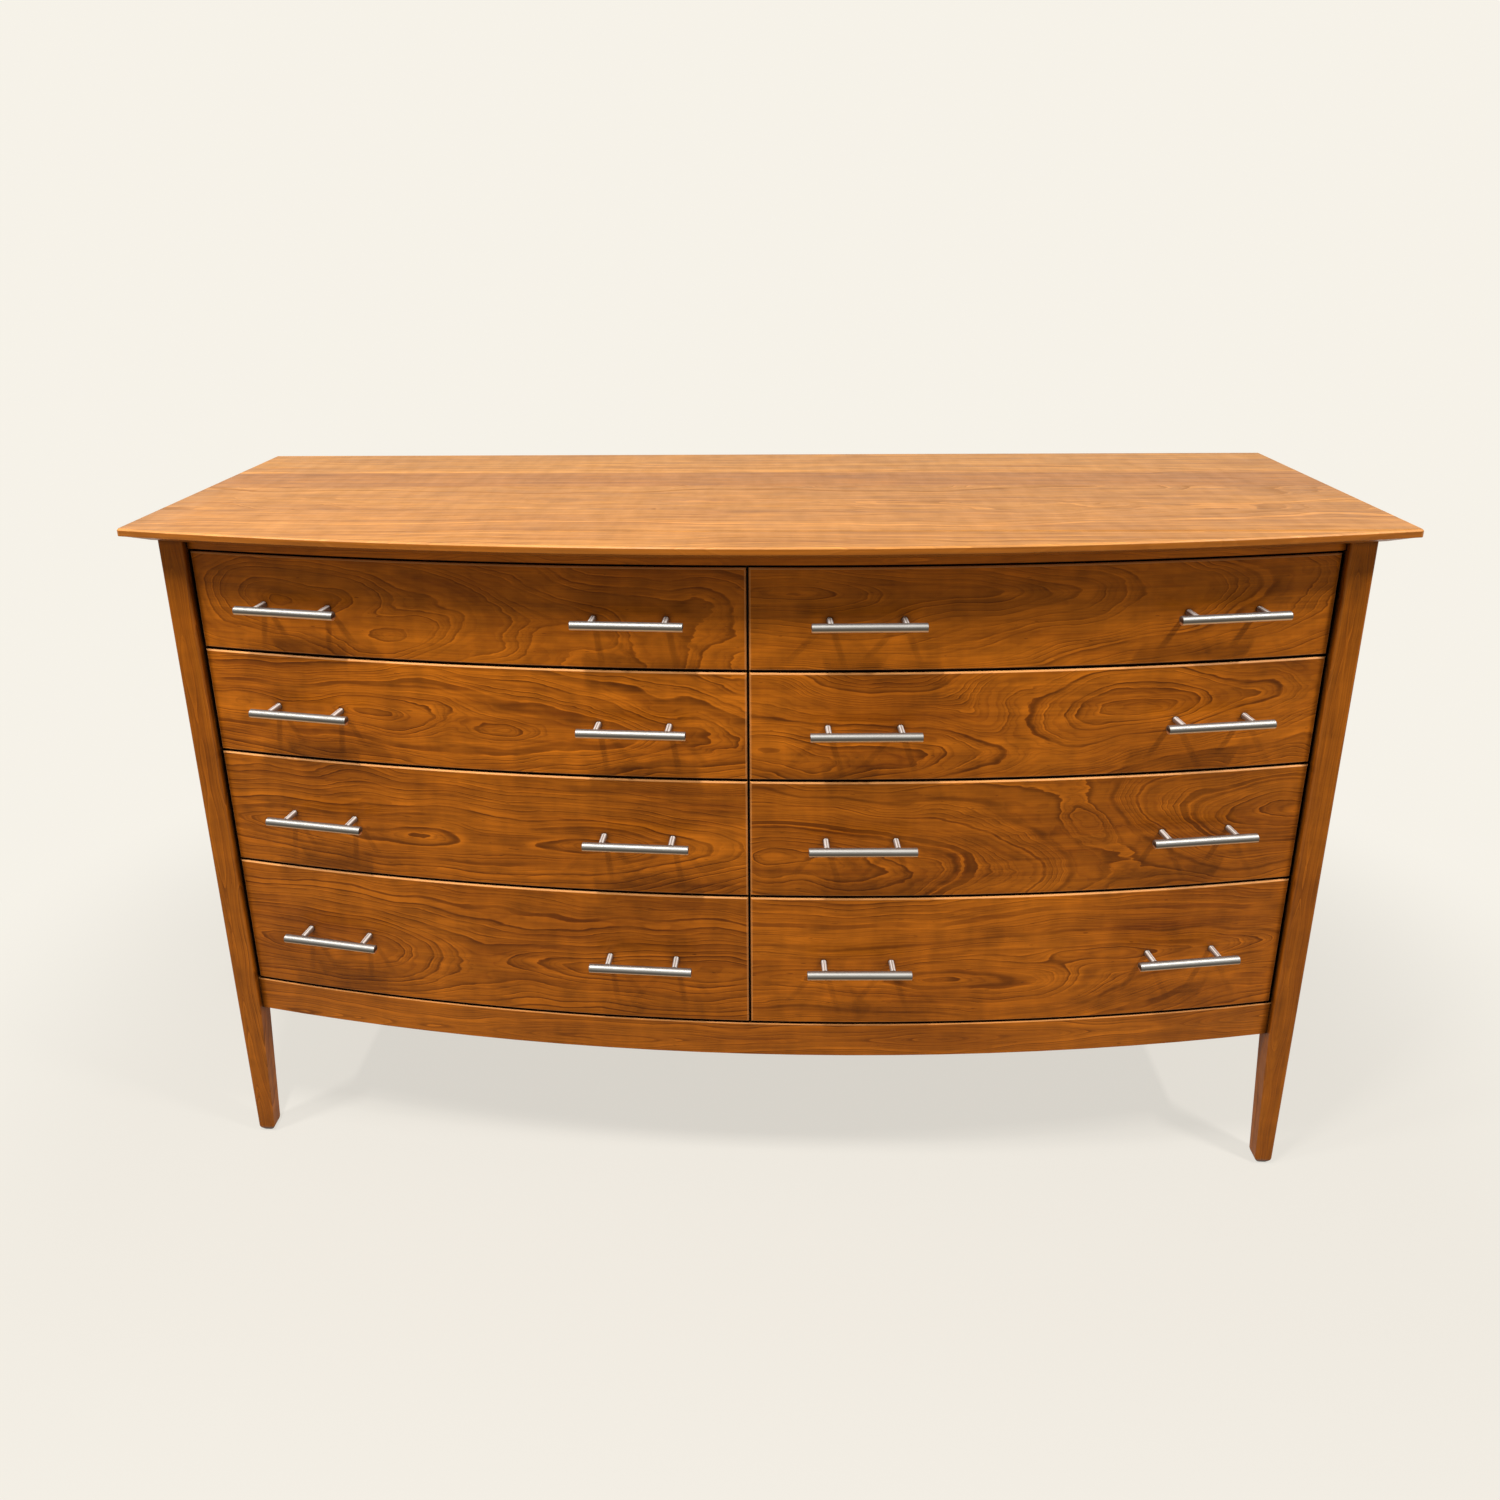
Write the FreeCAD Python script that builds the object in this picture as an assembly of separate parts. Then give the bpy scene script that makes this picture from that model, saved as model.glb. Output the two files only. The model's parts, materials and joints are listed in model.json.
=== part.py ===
import FreeCAD, Part
import math
import os

# A free-standing dresser with a bowed front: eight drawers in two columns of four,
# four tapered legs, curved rails and a bowed top with an undercut edge.
# Millimetres. X runs along the front, -Y points out of the front, +Z is up.
# The origin is on the floor, under the middle of the whole outline.

V = FreeCAD.Vector

# Case, measured over the legs
case_width = 1612.0
case_depth = 452.0
underside_height = 236.0

# Bow of the drawer faces, from the legs to the middle
face_setback = 11.0
face_bow = 72.0

# Gap round every drawer front
reveal = 3.0

# Drawer fronts, from the top row down
first_front_height = 141.5
second_front_height = 156.5
third_front_height = 178.5
fourth_front_height = 209.5
front_thickness = 20.0
front_arris = 2.0
front_heights = (first_front_height, second_front_height, third_front_height, fourth_front_height)

# Legs, tapered on their two inner faces below the case
leg_width = 34.0
leg_depth = 34.0
foot_width = 25.0
foot_depth = 25.0
foot_bevel_width = 5.0
foot_bevel_height = 8.0
leg_arris = 1.8

# Rails
top_rail_height = 16.5
bottom_rail_height = 54.5
rear_rail_height = 60.0
rear_rail_thickness = 20.0
rail_clearance = 2.0
rail_arris = 1.2

# Tenons of the rails and tongues of the panels
tenon_length = 16.0
tenon_thickness = 8.0
tenon_shoulder = 4.0
tongue_length = 8.0
tongue_thickness = 6.0
joint_clearance = 0.1

# Panels of the case
side_panel_thickness = 20.0
side_panel_inset = 6.0
partition_thickness = 20.0
bottom_board_thickness = 12.0
bottom_board_lift = 26.0
bottom_board_tongue = 6.0
back_panel_thickness = 6.0
back_panel_inset = 6.0
back_panel_tongue = 8.0
back_panel_margin = 4.0

# Top board, with a long bevel under its front and its two ends
top_thickness = 22.0
top_edge_thickness = 10.0
top_side_overhang = 38.0
top_corner_overhang = 27.0
top_rear_overhang = 8.0
top_bevel_width = 30.0
top_arris = 2.0
top_corner_radius = 6.0

# Drawer boxes
box_board = 13.0
box_lift = 12.0
box_drop = 28.0
box_rear_gap = 8.0
box_floor_recess = 13.0
box_floor_thickness = 6.0
box_floor_groove = 6.0

# Dovetails at the rear corners of a drawer box
tail_pitch = 32.0
tail_width = 17.0
tail_flare = 1.8

# Sliding dovetail that holds a drawer side in the curved front
slip_neck = 6.5
slip_width = 9.5
slip_length = 9.0

# Undermount slides, folded from sheet steel
slide_steel = 1.5
slide_front_gap = 2.0
slide_rear_gap = 2.0
slide_side_gap = 5.0
slide_flange_rise = 18.0
slide_web_gap = 3.0
slide_rail_width = 13.0
slide_lift_gap = 0.3
slide_guide_gap = 1.0
slide_board_gap = 3.5
runner_short = 6.0
packer_margin = 6.0

# Bar pulls
pull_pitch = 96.0
pull_length = 146.0
pull_diameter = 12.0
pull_post_diameter = 8.5
pull_reach = 29.0
pull_inset = 152.0
pull_sides = 24
post_sides = 12

# Clips that hold the top board to the case
clip_width = 22.0
clip_steel = 1.5
clip_drop = 11.0
clip_foot = 20.0
clip_tab = 7.0
clip_slot_play = 0.5
clip_end_share = 0.16
rear_clip_shares = (-0.74, -0.26, 0.26, 0.74)

# Cuts run past the faces that they leave by this much
overrun = 5.0

# Places worked out from the sizes
half_case = case_width / 2
half_opening = half_case - leg_width
face_radius = (half_opening ** 2 + face_bow ** 2) / (2 * face_bow)
face_crown = face_setback - face_bow
top_half_width = half_case + top_side_overhang
top_radius = math.hypot(top_half_width, face_crown + face_radius + top_corner_overhang)
top_crown = face_crown + face_radius - top_radius
front_plane = -(top_crown + case_depth + top_rear_overhang) / 2
rear_plane = front_plane + case_depth
bow_centre = front_plane + face_crown + face_radius
front_leg_back = front_plane + leg_depth
rear_leg_front = rear_plane - leg_depth

opening_bottom = underside_height + bottom_rail_height
opening_top = opening_bottom + sum(front_heights) + reveal * (len(front_heights) + 1)
case_top = opening_top + top_rail_height
top_surface = case_top + top_thickness

rail_thickness = front_thickness + rail_clearance
side_inner = half_case - side_panel_inset - side_panel_thickness
half_partition = partition_thickness / 2
back_front = rear_plane - back_panel_inset - back_panel_thickness
rear_rail_front = back_front - rear_rail_thickness
board_bottom = underside_height + bottom_board_lift
board_top = board_bottom + bottom_board_thickness

box_inner_face = half_partition + slide_side_gap
box_outer_face = half_opening - slide_side_gap
box_back = rear_rail_front - box_rear_gap
slide_front = front_leg_back + slide_front_gap
slide_back = rear_leg_front - slide_rear_gap
slide_rail_near = slide_side_gap + box_board + slide_board_gap + slide_steel + slide_guide_gap
slide_rail_far = slide_rail_near + slide_rail_width


def block(x0, x1, y0, y1, z0, z1):
    """Box between two corners."""
    return Part.makeBox(x1 - x0, y1 - y0, z1 - z0, V(x0, y0, z0))


def closed_face(points):
    """Flat face inside a closed outline of straight edges."""
    return Part.Face(Part.makePolygon(points + points[:1]))


def plan_prism(outline, z0, z1):
    """Outline given as (x, y), raised from z0 to z1."""
    return closed_face([V(x, y, z0) for x, y in outline]).extrude(V(0, 0, z1 - z0))


def front_prism(outline, y0, y1):
    """Outline given as (x, z), drawn back from y0 to y1."""
    return closed_face([V(x, y0, z) for x, z in outline]).extrude(V(0, y1 - y0, 0))


def side_prism(outline, x0, x1):
    """Outline given as (y, z), drawn across from x0 to x1."""
    return closed_face([V(x0, y, z) for y, z in outline]).extrude(V(x1 - x0, 0, 0))


def mirrored(shape):
    """The same piece on the other side of the middle."""
    return shape.mirror(V(0, 0, 0), V(1, 0, 0))


def bow_y(radius, x):
    """Depth of a point on an arc about the common centre of the bow."""
    return bow_centre - math.sqrt(radius ** 2 - x ** 2)


def bow_edge(radius, x0, x1, z):
    """Arc of the bow from x0 to x1."""
    middle = (x0 + x1) / 2
    ends = [V(x, bow_y(radius, x), z) for x in (x0, middle, x1)]
    return Part.Arc(*ends).toShape()


def bowed_board(x0, x1, outer, inner, z0, z1):
    """Board whose two broad faces are arcs about the centre of the bow."""
    front = bow_edge(outer, x0, x1, z0)
    back = bow_edge(inner, x1, x0, z0)
    end = Part.makeLine(V(x1, bow_y(outer, x1), z0), V(x1, bow_y(inner, x1), z0))
    start = Part.makeLine(V(x0, bow_y(inner, x0), z0), V(x0, bow_y(outer, x0), z0))
    return Part.Face(Part.Wire([front, end, back, start])).extrude(V(0, 0, z1 - z0))


def bowed_panel(x0, x1, outer, back_y, z0, z1):
    """Board with a bowed front edge and a straight back edge."""
    front = bow_edge(outer, x0, x1, z0)
    sides = Part.makePolygon([V(x1, bow_y(outer, x1), z0), V(x1, back_y, z0), V(x0, back_y, z0),
                              V(x0, bow_y(outer, x0), z0)])
    return Part.Face(Part.Wire([front] + sides.Edges)).extrude(V(0, 0, z1 - z0))


def edges_on_bow(shape, radius):
    """Edges whose every point lies on an arc of the bow."""
    def on_bow(edge):
        middle = edge.valueAt((edge.FirstParameter + edge.LastParameter) / 2)
        places = [vertex.Point for vertex in edge.Vertexes] + [middle]
        return all(abs(math.hypot(p.x, bow_centre - p.y) - radius) < joint_clearance for p in places)
    return [edge for edge in shape.Edges if on_bow(edge)]


def eased_section(x0, x1, y0, y1, z):
    """Level outline of a leg, its four arrises eased."""
    ease = leg_arris
    points = [V(x0 + ease, y0, z), V(x1 - ease, y0, z), V(x1, y0 + ease, z), V(x1, y1 - ease, z),
              V(x1 - ease, y1, z), V(x0 + ease, y1, z), V(x0, y1 - ease, z), V(x0, y0 + ease, z)]
    return Part.makePolygon(points + points[:1])


def leg(front):
    """Right leg: straight outside, tapered inside below the case, bevelled round the foot."""
    bevel = foot_bevel_width
    levels = [(0, foot_width - bevel, foot_depth - bevel, bevel), (foot_bevel_height, foot_width, foot_depth, 0),
              (underside_height, leg_width, leg_depth, 0), (case_top, leg_width, leg_depth, 0)]
    sections = []
    for z, width, depth, inset in levels:
        x0, x1 = half_case - width, half_case - inset
        if front:
            y0, y1 = front_plane + inset, front_plane + depth
        else:
            y0, y1 = rear_plane - depth, rear_plane - inset
        sections.append(eased_section(x0, x1, y0, y1, z))
    return Part.makeLoft(sections, True, True).cut(leg_sockets(front))


def leg_sockets(front):
    """Mortises and grooves of one right leg."""
    grow = joint_clearance
    if front:
        cuts = [rail_tenon(place, grow) for place in (top_rail_tenon_place, bottom_rail_tenon_place)]
    else:
        cuts = [rail_tenon(place, grow) for place in (top_rear_tenon_place, bottom_rear_tenon_place)]
        cuts.append(block(half_opening - overrun, half_opening + back_panel_tongue + grow,
                          back_front - grow, back_front + back_panel_thickness + grow,
                          underside_height + back_panel_margin - grow, case_top + overrun))
    tongue = panel_tongue(front)
    cuts.append(block(tongue[0] - grow, tongue[1] + grow, tongue[2] - grow, tongue[3] + grow,
                      underside_height - grow, case_top + overrun))
    return Part.makeCompound(cuts)


def panel_tongue(front):
    """Reach of a side panel's tongue into a leg, as x0, x1, y0, y1."""
    middle = side_inner + side_panel_thickness / 2
    x0 = middle - tongue_thickness / 2
    if front:
        return x0, x0 + tongue_thickness, front_leg_back - tongue_length, front_leg_back
    return x0, x0 + tongue_thickness, rear_leg_front, rear_leg_front + tongue_length


# Tenons at the right end of each rail, as the depth of their middle and their height range
top_rail_tenon_place = (front_plane + face_setback + rail_thickness / 2,
                        opening_top + tenon_shoulder, case_top - tenon_shoulder)
bottom_rail_tenon_place = (front_plane + face_setback + rail_thickness / 2,
                           underside_height + tenon_shoulder, opening_bottom - tenon_shoulder)
top_rear_tenon_place = (rear_rail_front + rear_rail_thickness / 2,
                        case_top - rear_rail_height + tenon_shoulder, case_top - tenon_shoulder)
bottom_rear_tenon_place = (rear_rail_front + rear_rail_thickness / 2,
                           underside_height + tenon_shoulder, opening_bottom - tenon_shoulder)


def rail_tenon(place, grow):
    """Tenon at the right end of a rail, or with some growth its mortise."""
    middle, low, high = place
    half = tenon_thickness / 2
    return block(half_opening, half_opening + tenon_length + grow,
                 middle - half - grow, middle + half + grow, low - grow, high + grow)


def with_tenons(rail, place):
    """Rail with a tenon at each end."""
    tenon = rail_tenon(place, 0)
    return rail.fuse([tenon, mirrored(tenon)]).removeSplitter()


def top_front_rail():
    """Flat rail under the top board, its front edge on the bow."""
    rail = bowed_panel(-half_opening, half_opening, face_radius, front_leg_back, opening_top, case_top)
    return with_tenons(rail, top_rail_tenon_place)


def bottom_front_rail():
    """Curved rail under the drawers, grooved for the bottom board."""
    inner = face_radius - rail_thickness
    rail = bowed_board(-half_opening, half_opening, face_radius, inner, underside_height, opening_bottom)
    arris = [edge for edge in edges_on_bow(rail, face_radius)
             if edge.BoundBox.XLength > half_opening and edge.BoundBox.ZMin > underside_height]
    rail = rail.makeChamfer(rail_arris, arris)
    groove = bowed_board(-half_opening, half_opening, inner + bottom_board_tongue, inner - overrun,
                         board_bottom, board_top)
    return with_tenons(rail.cut(groove), bottom_rail_tenon_place)


def rear_rail(z0, z1, place):
    """Straight rail between the rear legs."""
    rail = block(-half_opening, half_opening, rear_rail_front, back_front, z0, z1)
    return with_tenons(rail, place)


def top_rear_rail():
    """Rear rail under the top board, slotted for the clips."""
    rail = rear_rail(case_top - rear_rail_height, case_top, top_rear_tenon_place)
    slots = [clip_slot(place) for place in rear_clip_places()]
    return rail.cut(Part.makeCompound(slots))


def bottom_rear_rail():
    """Rear rail at the foot of the case, grooved for the bottom board."""
    rail = rear_rail(underside_height, opening_bottom, bottom_rear_tenon_place)
    groove = block(-half_opening, half_opening, rear_rail_front - overrun,
                   rear_rail_front + bottom_board_tongue, board_bottom, board_top)
    return rail.cut(groove)


def side_panel():
    """Right side of the case, tongued into both legs."""
    panel = block(side_inner, side_inner + side_panel_thickness, front_leg_back, rear_leg_front,
                  underside_height, case_top)
    for front in (True, False):
        x0, x1, y0, y1 = panel_tongue(front)
        panel = panel.fuse(block(x0, x1, y0, y1, underside_height, case_top))
    groove = block(side_inner - overrun, side_inner + bottom_board_tongue,
                   front_leg_back, rear_leg_front, board_bottom, board_top)
    cuts = [groove] + [clip_slot(place) for place in side_clip_places()]
    return panel.removeSplitter().cut(Part.makeCompound(cuts))


def bottom_board():
    """Board that closes the case below, let into the rails and the sides."""
    inner = face_radius - rail_thickness + bottom_board_tongue
    middle = bowed_panel(-half_opening, half_opening, inner, rear_rail_front + bottom_board_tongue,
                         board_bottom, board_top)
    reach = side_inner + bottom_board_tongue
    wings = block(-reach, reach, front_leg_back, rear_leg_front, board_bottom, board_top)
    return middle.fuse(wings).removeSplitter()


def centre_partition():
    """Upright board between the two columns, notched round the rails."""
    front = bow_y(face_radius - rail_thickness, half_partition)
    outline = [(front, board_top), (rear_rail_front, board_top), (rear_rail_front, opening_bottom),
               (back_front, opening_bottom), (back_front, case_top - rear_rail_height),
               (rear_rail_front, case_top - rear_rail_height), (rear_rail_front, case_top),
               (front_leg_back, case_top), (front_leg_back, opening_top), (front, opening_top)]
    return side_prism(outline, -half_partition, half_partition)


def back_panel():
    """Thin panel behind the case, held in grooves of the rear legs."""
    reach = half_opening + back_panel_tongue
    return block(-reach, reach, back_front, back_front + back_panel_thickness,
                 underside_height + back_panel_margin, case_top)


def top_outline(shrink, z):
    """Outline of the top board, drawn in along the bow and at both ends."""
    radius = top_radius - shrink
    side = top_half_width - shrink
    back = rear_plane + top_rear_overhang
    front = bow_edge(radius, -side, side, z)
    rest = Part.makePolygon([V(side, bow_y(radius, side), z), V(side, back, z), V(-side, back, z),
                             V(-side, bow_y(radius, side), z)])
    return Part.Wire([front] + rest.Edges)


def top_board():
    """Bowed top: a full edge above and a long bevel below it."""
    edge_bottom = top_surface - top_edge_thickness
    slab = Part.Face(top_outline(0, edge_bottom)).extrude(V(0, 0, top_edge_thickness))
    corners = [edge for edge in slab.Edges
               if edge.BoundBox.ZLength > top_arris and edge.BoundBox.YMax < front_plane]
    slab = slab.makeFillet(top_corner_radius, corners)
    rim = [edge for edge in slab.Edges if edge.BoundBox.ZMin > edge_bottom + top_arris]
    slab = slab.makeChamfer(top_arris, rim)
    wires = [top_outline(top_bevel_width, case_top), top_outline(top_arris, edge_bottom)]
    bevel = Part.makeLoft(wires, True, True)
    return slab.fuse(bevel).removeSplitter()


def side_clip_places():
    """Seats of the clips on the right side panel, as origin, inward and along directions."""
    span = rear_leg_front - front_leg_back
    shares = (clip_end_share, 1 - clip_end_share)
    return [(V(side_inner, front_leg_back + share * span, case_top), V(-1, 0, 0)) for share in shares]


def rear_clip_places():
    """Seats of the clips on the rear rail."""
    return [(V(share * half_opening, rear_rail_front, case_top), V(0, -1, 0)) for share in rear_clip_shares]


def clip_section(place, outline):
    """Section across a clip's seat, drawn out to the clip's width."""
    seat, inward = place
    along = V(0, 0, 1).cross(inward)
    start = seat - along * (clip_width / 2)
    face = closed_face([start + inward * u + V(0, 0, z) for u, z in outline])
    return face.extrude(along * clip_width)


def clip(place):
    """Folded clip: a tab in the slot, a riser and a foot under the top board."""
    steel = clip_steel
    outline = [(-clip_tab, -clip_drop), (steel, -clip_drop), (steel, -steel), (clip_foot, -steel),
               (clip_foot, 0), (0, 0), (0, steel - clip_drop), (-clip_tab, steel - clip_drop)]
    return clip_section(place, outline)


def clip_slot(place):
    """Slot that takes a clip's tab, with room for the top board to move."""
    low = -clip_drop - clip_slot_play
    high = clip_steel - clip_drop + clip_slot_play
    deep = -clip_tab - clip_slot_play
    return clip_section(place, [(deep, low), (overrun, low), (overrun, high), (deep, high)])


def slide_section(points, wall, inward, floor, y0, y1):
    """Folded steel section beside a wall of the case, drawn back from y0 to y1."""
    return front_prism([(wall + inward * u, floor + z) for u, z in points], y0, y1)


def fixed_slide_points():
    """Case half of a slide: flange on the wall, web under the drawer, upright rail."""
    steel = slide_steel
    near, far = slide_rail_near, slide_rail_far
    web_top = -slide_web_gap
    web_bottom = web_top - steel
    crest = box_floor_recess - steel - slide_lift_gap
    return [(0, web_bottom), (0, slide_flange_rise), (steel, slide_flange_rise), (steel, web_top),
            (near, web_top), (near, crest), (far, crest), (far, web_bottom),
            (far - steel, web_bottom), (far - steel, crest - steel), (near + steel, crest - steel),
            (near + steel, web_bottom)]


def runner_points():
    """Drawer half of a slide: a channel that rides over the upright rail."""
    steel = slide_steel
    near = slide_rail_near - slide_guide_gap
    far = slide_rail_far + slide_guide_gap
    roof = box_floor_recess
    return [(near - steel, 0), (near - steel, roof), (far + steel, roof), (far + steel, 0), (far, 0),
            (far, roof - steel), (near, roof - steel), (near, 0)]


def row_places():
    """Height of the bottom and the top of each row's fronts, from the top row down."""
    rows = []
    top = opening_top - reveal
    for height in front_heights:
        rows.append((top - height, top))
        top = top - height - reveal
    return rows


def case_slides():
    """Case halves of the slides of the right column, two to a drawer."""
    members = []
    for low, _ in row_places():
        for wall, inward in ((half_partition, 1), (half_opening, -1)):
            members.append(slide_section(fixed_slide_points(), wall, inward, low + box_lift,
                                         slide_front, slide_back))
    return members


def slide_packers():
    """Strips that bring the right side panel out to the face of the legs."""
    strips = []
    for low, _ in row_places():
        floor = low + box_lift
        strips.append(block(half_opening, side_inner, front_leg_back, rear_leg_front,
                            floor - slide_web_gap - slide_steel - packer_margin,
                            floor + slide_flange_rise + packer_margin))
    return strips


def drawer_runners(low):
    """The two drawer halves of the slides, under a drawer of the right column."""
    end = slide_back - runner_short
    return [slide_section(runner_points(), wall, inward, low + box_lift, slide_front, end)
            for wall, inward in ((half_partition, 1), (half_opening, -1))]


def drawer_front(low, high):
    """Curved front of a drawer of the right column, socketed for its box."""
    inner = face_radius - front_thickness
    x0 = reveal / 2
    x1 = half_opening - reveal
    front = bowed_board(x0, x1, face_radius, inner, low, high)
    front = front.makeChamfer(front_arris, edges_on_bow(front, face_radius))
    sockets = [plan_prism(slip_outline(middle, joint_clearance), low - overrun, high - box_drop)
               for middle in side_middles()]
    floor = floor_panel(low)
    return front.cut(Part.makeCompound(sockets + [floor]))


def side_middles():
    """Middle of the thickness of a drawer's two side boards."""
    return box_inner_face + box_board / 2, box_outer_face - box_board / 2


def slip_outline(middle, grow):
    """Sliding dovetail in plan, running into the back of the curved front."""
    seat = bow_y(face_radius - front_thickness, middle)
    neck = slip_neck / 2 + grow
    wide = slip_width / 2 + grow
    deep = seat - slip_length - grow
    return [(middle - neck, seat + overrun), (middle - wide, deep), (middle + wide, deep),
            (middle + neck, seat + overrun)]


def drawer_side(middle, low, high):
    """Side board, its front end cut to the bow with a dovetail on it."""
    inner = face_radius - front_thickness
    x0 = middle - box_board / 2
    x1 = middle + box_board / 2
    root = box_back - box_board
    board = plan_prism([(x0, bow_y(inner, x0)), (x1, bow_y(inner, x1)), (x1, root), (x0, root)],
                       low + box_lift, high - box_drop)
    slip = plan_prism(slip_outline(middle, 0), low + box_lift, high - box_drop)
    board = board.fuse([slip] + tails(x0, x1, low, high)).removeSplitter()
    return board.cut(floor_panel(low))


def tails(x0, x1, low, high):
    """Tails across the rear corner of a drawer box, from x0 to x1."""
    floor = low + box_lift + box_floor_recess + box_floor_thickness
    height = high - box_drop - floor
    count = max(1, round(height / tail_pitch))
    pitch = height / count
    half = tail_width / 2
    root = box_back - box_board
    shapes = []
    for index in range(count):
        middle = floor + (index + 1 / 2) * pitch
        outline = [(root, middle - half), (box_back, middle - half - tail_flare),
                   (box_back, middle + half + tail_flare), (root, middle + half)]
        shapes.append(side_prism(outline, x0, x1))
    return shapes


def drawer_back(low, high):
    """Back board, its ends cut away round the tails of the sides."""
    floor = low + box_lift + box_floor_recess + box_floor_thickness
    board = block(box_inner_face, box_outer_face, box_back - box_board, box_back, floor, high - box_drop)
    waste = tails(box_inner_face, box_inner_face + box_board, low, high)
    waste += tails(box_outer_face - box_board, box_outer_face, low, high)
    return board.cut(Part.makeCompound(waste))


def floor_panel(low):
    """Thin floor of a drawer, let into the front and the sides."""
    groove = box_floor_groove
    floor = low + box_lift + box_floor_recess
    return bowed_panel(box_inner_face + box_board - groove, box_outer_face - box_board + groove,
                       face_radius - front_thickness + groove, box_back, floor,
                       floor + box_floor_thickness)


def rod(start, along, length, diameter, sides):
    """Round rod, drawn with a few flats because the pulls repeat so often."""
    across = V(0, 0, 1).cross(along)
    rim = []
    for index in range(sides):
        turn = 2 * math.pi * (index + 1 / 2) / sides
        rim.append(start + (across * math.cos(turn) + V(0, 0, 1) * math.sin(turn)) * (diameter / 2))
    return closed_face(rim).extrude(along * length)


def bar_pull(x, z):
    """Bar milled flat over its two posts, square to the bow where it stands."""
    angle = math.asin(x / face_radius)
    outward = V(math.sin(angle), -math.cos(angle), 0)
    along = V(math.cos(angle), math.sin(angle), 0)
    seat = V(x, bow_y(face_radius, x), z)
    bar = rod(seat + outward * pull_reach - along * (pull_length / 2), along, pull_length,
              pull_diameter, pull_sides)
    post_radius = pull_post_diameter / 2
    fall = face_radius - math.sqrt(face_radius ** 2 - (pull_pitch / 2 - post_radius) ** 2)
    flat = pull_reach - math.sqrt((pull_diameter / 2) ** 2 - post_radius ** 2)
    posts = []
    for side in (-1, 1):
        foot = seat + along * (side * pull_pitch / 2)
        corner = foot - along * post_radius - V(0, 0, pull_diameter / 2)
        end = corner + along * pull_post_diameter
        mill = closed_face([corner, end, end + outward * flat, corner + outward * flat])
        bar = bar.cut(mill.extrude(V(0, 0, pull_diameter)))
        posts.append(rod(foot - outward * fall, outward, fall + flat, pull_post_diameter, post_sides))
    return [bar] + posts


def drawer_pulls(low, high):
    """The two pulls of a drawer, level with the middle of its front."""
    x0 = reveal / 2 + pull_inset
    x1 = half_opening - reveal - pull_inset
    middle = (low + high) / 2
    return bar_pull(x0, middle) + bar_pull(x1, middle)


def drawer(low, high):
    """Pieces of one drawer of the right column, by name."""
    sides = [drawer_side(middle, low, high) for middle in side_middles()]
    return {
        "front": drawer_front(low, high),
        "box": Part.makeCompound(sides + [drawer_back(low, high)]),
        "floor": floor_panel(low),
        "runners": Part.makeCompound(drawer_runners(low)),
        "pulls": Part.makeCompound(drawer_pulls(low, high)),
    }


def export(name, shape):
    """One file for each sub-part."""
    shape.exportStep("parts/" + name + ".step")


def main():
    """Build every sub-part and write it."""
    os.makedirs("parts", exist_ok=True)
    export("top_board", top_board())
    export("top_front_rail", top_front_rail())
    export("bottom_front_rail", bottom_front_rail())
    export("top_rear_rail", top_rear_rail())
    export("bottom_rear_rail", bottom_rear_rail())
    export("bottom_board", bottom_board())
    export("centre_partition", centre_partition())
    export("back_panel", back_panel())
    pairs = {"front_{}_leg": leg(True), "rear_{}_leg": leg(False), "{}_side_panel": side_panel(),
             "{}_case_slides": Part.makeCompound(case_slides())}
    for name, shape in pairs.items():
        export(name.format("right"), shape)
        export(name.format("left"), mirrored(shape))
    packers = Part.makeCompound(slide_packers())
    export("slide_packers", Part.makeCompound([packers, mirrored(packers)]))
    side_clips = Part.makeCompound([clip(place) for place in side_clip_places()])
    rear_clips = [clip(place) for place in rear_clip_places()]
    export("top_clips", Part.makeCompound([side_clips, mirrored(side_clips)] + rear_clips))
    for row, (low, high) in enumerate(row_places(), start=1):
        for piece, shape in drawer(low, high).items():
            export("drawer_right_{}_{}".format(row, piece), shape)
            export("drawer_left_{}_{}".format(row, piece), mirrored(shape))


if __name__ == "__main__":
    main()
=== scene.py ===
import json
import math
from collections import Counter

import bmesh
import bpy
from bpy.props import FloatProperty, FloatVectorProperty, IntProperty, PointerProperty
from mathutils import Matrix, Vector
from mathutils.bvhtree import BVHTree

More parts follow.
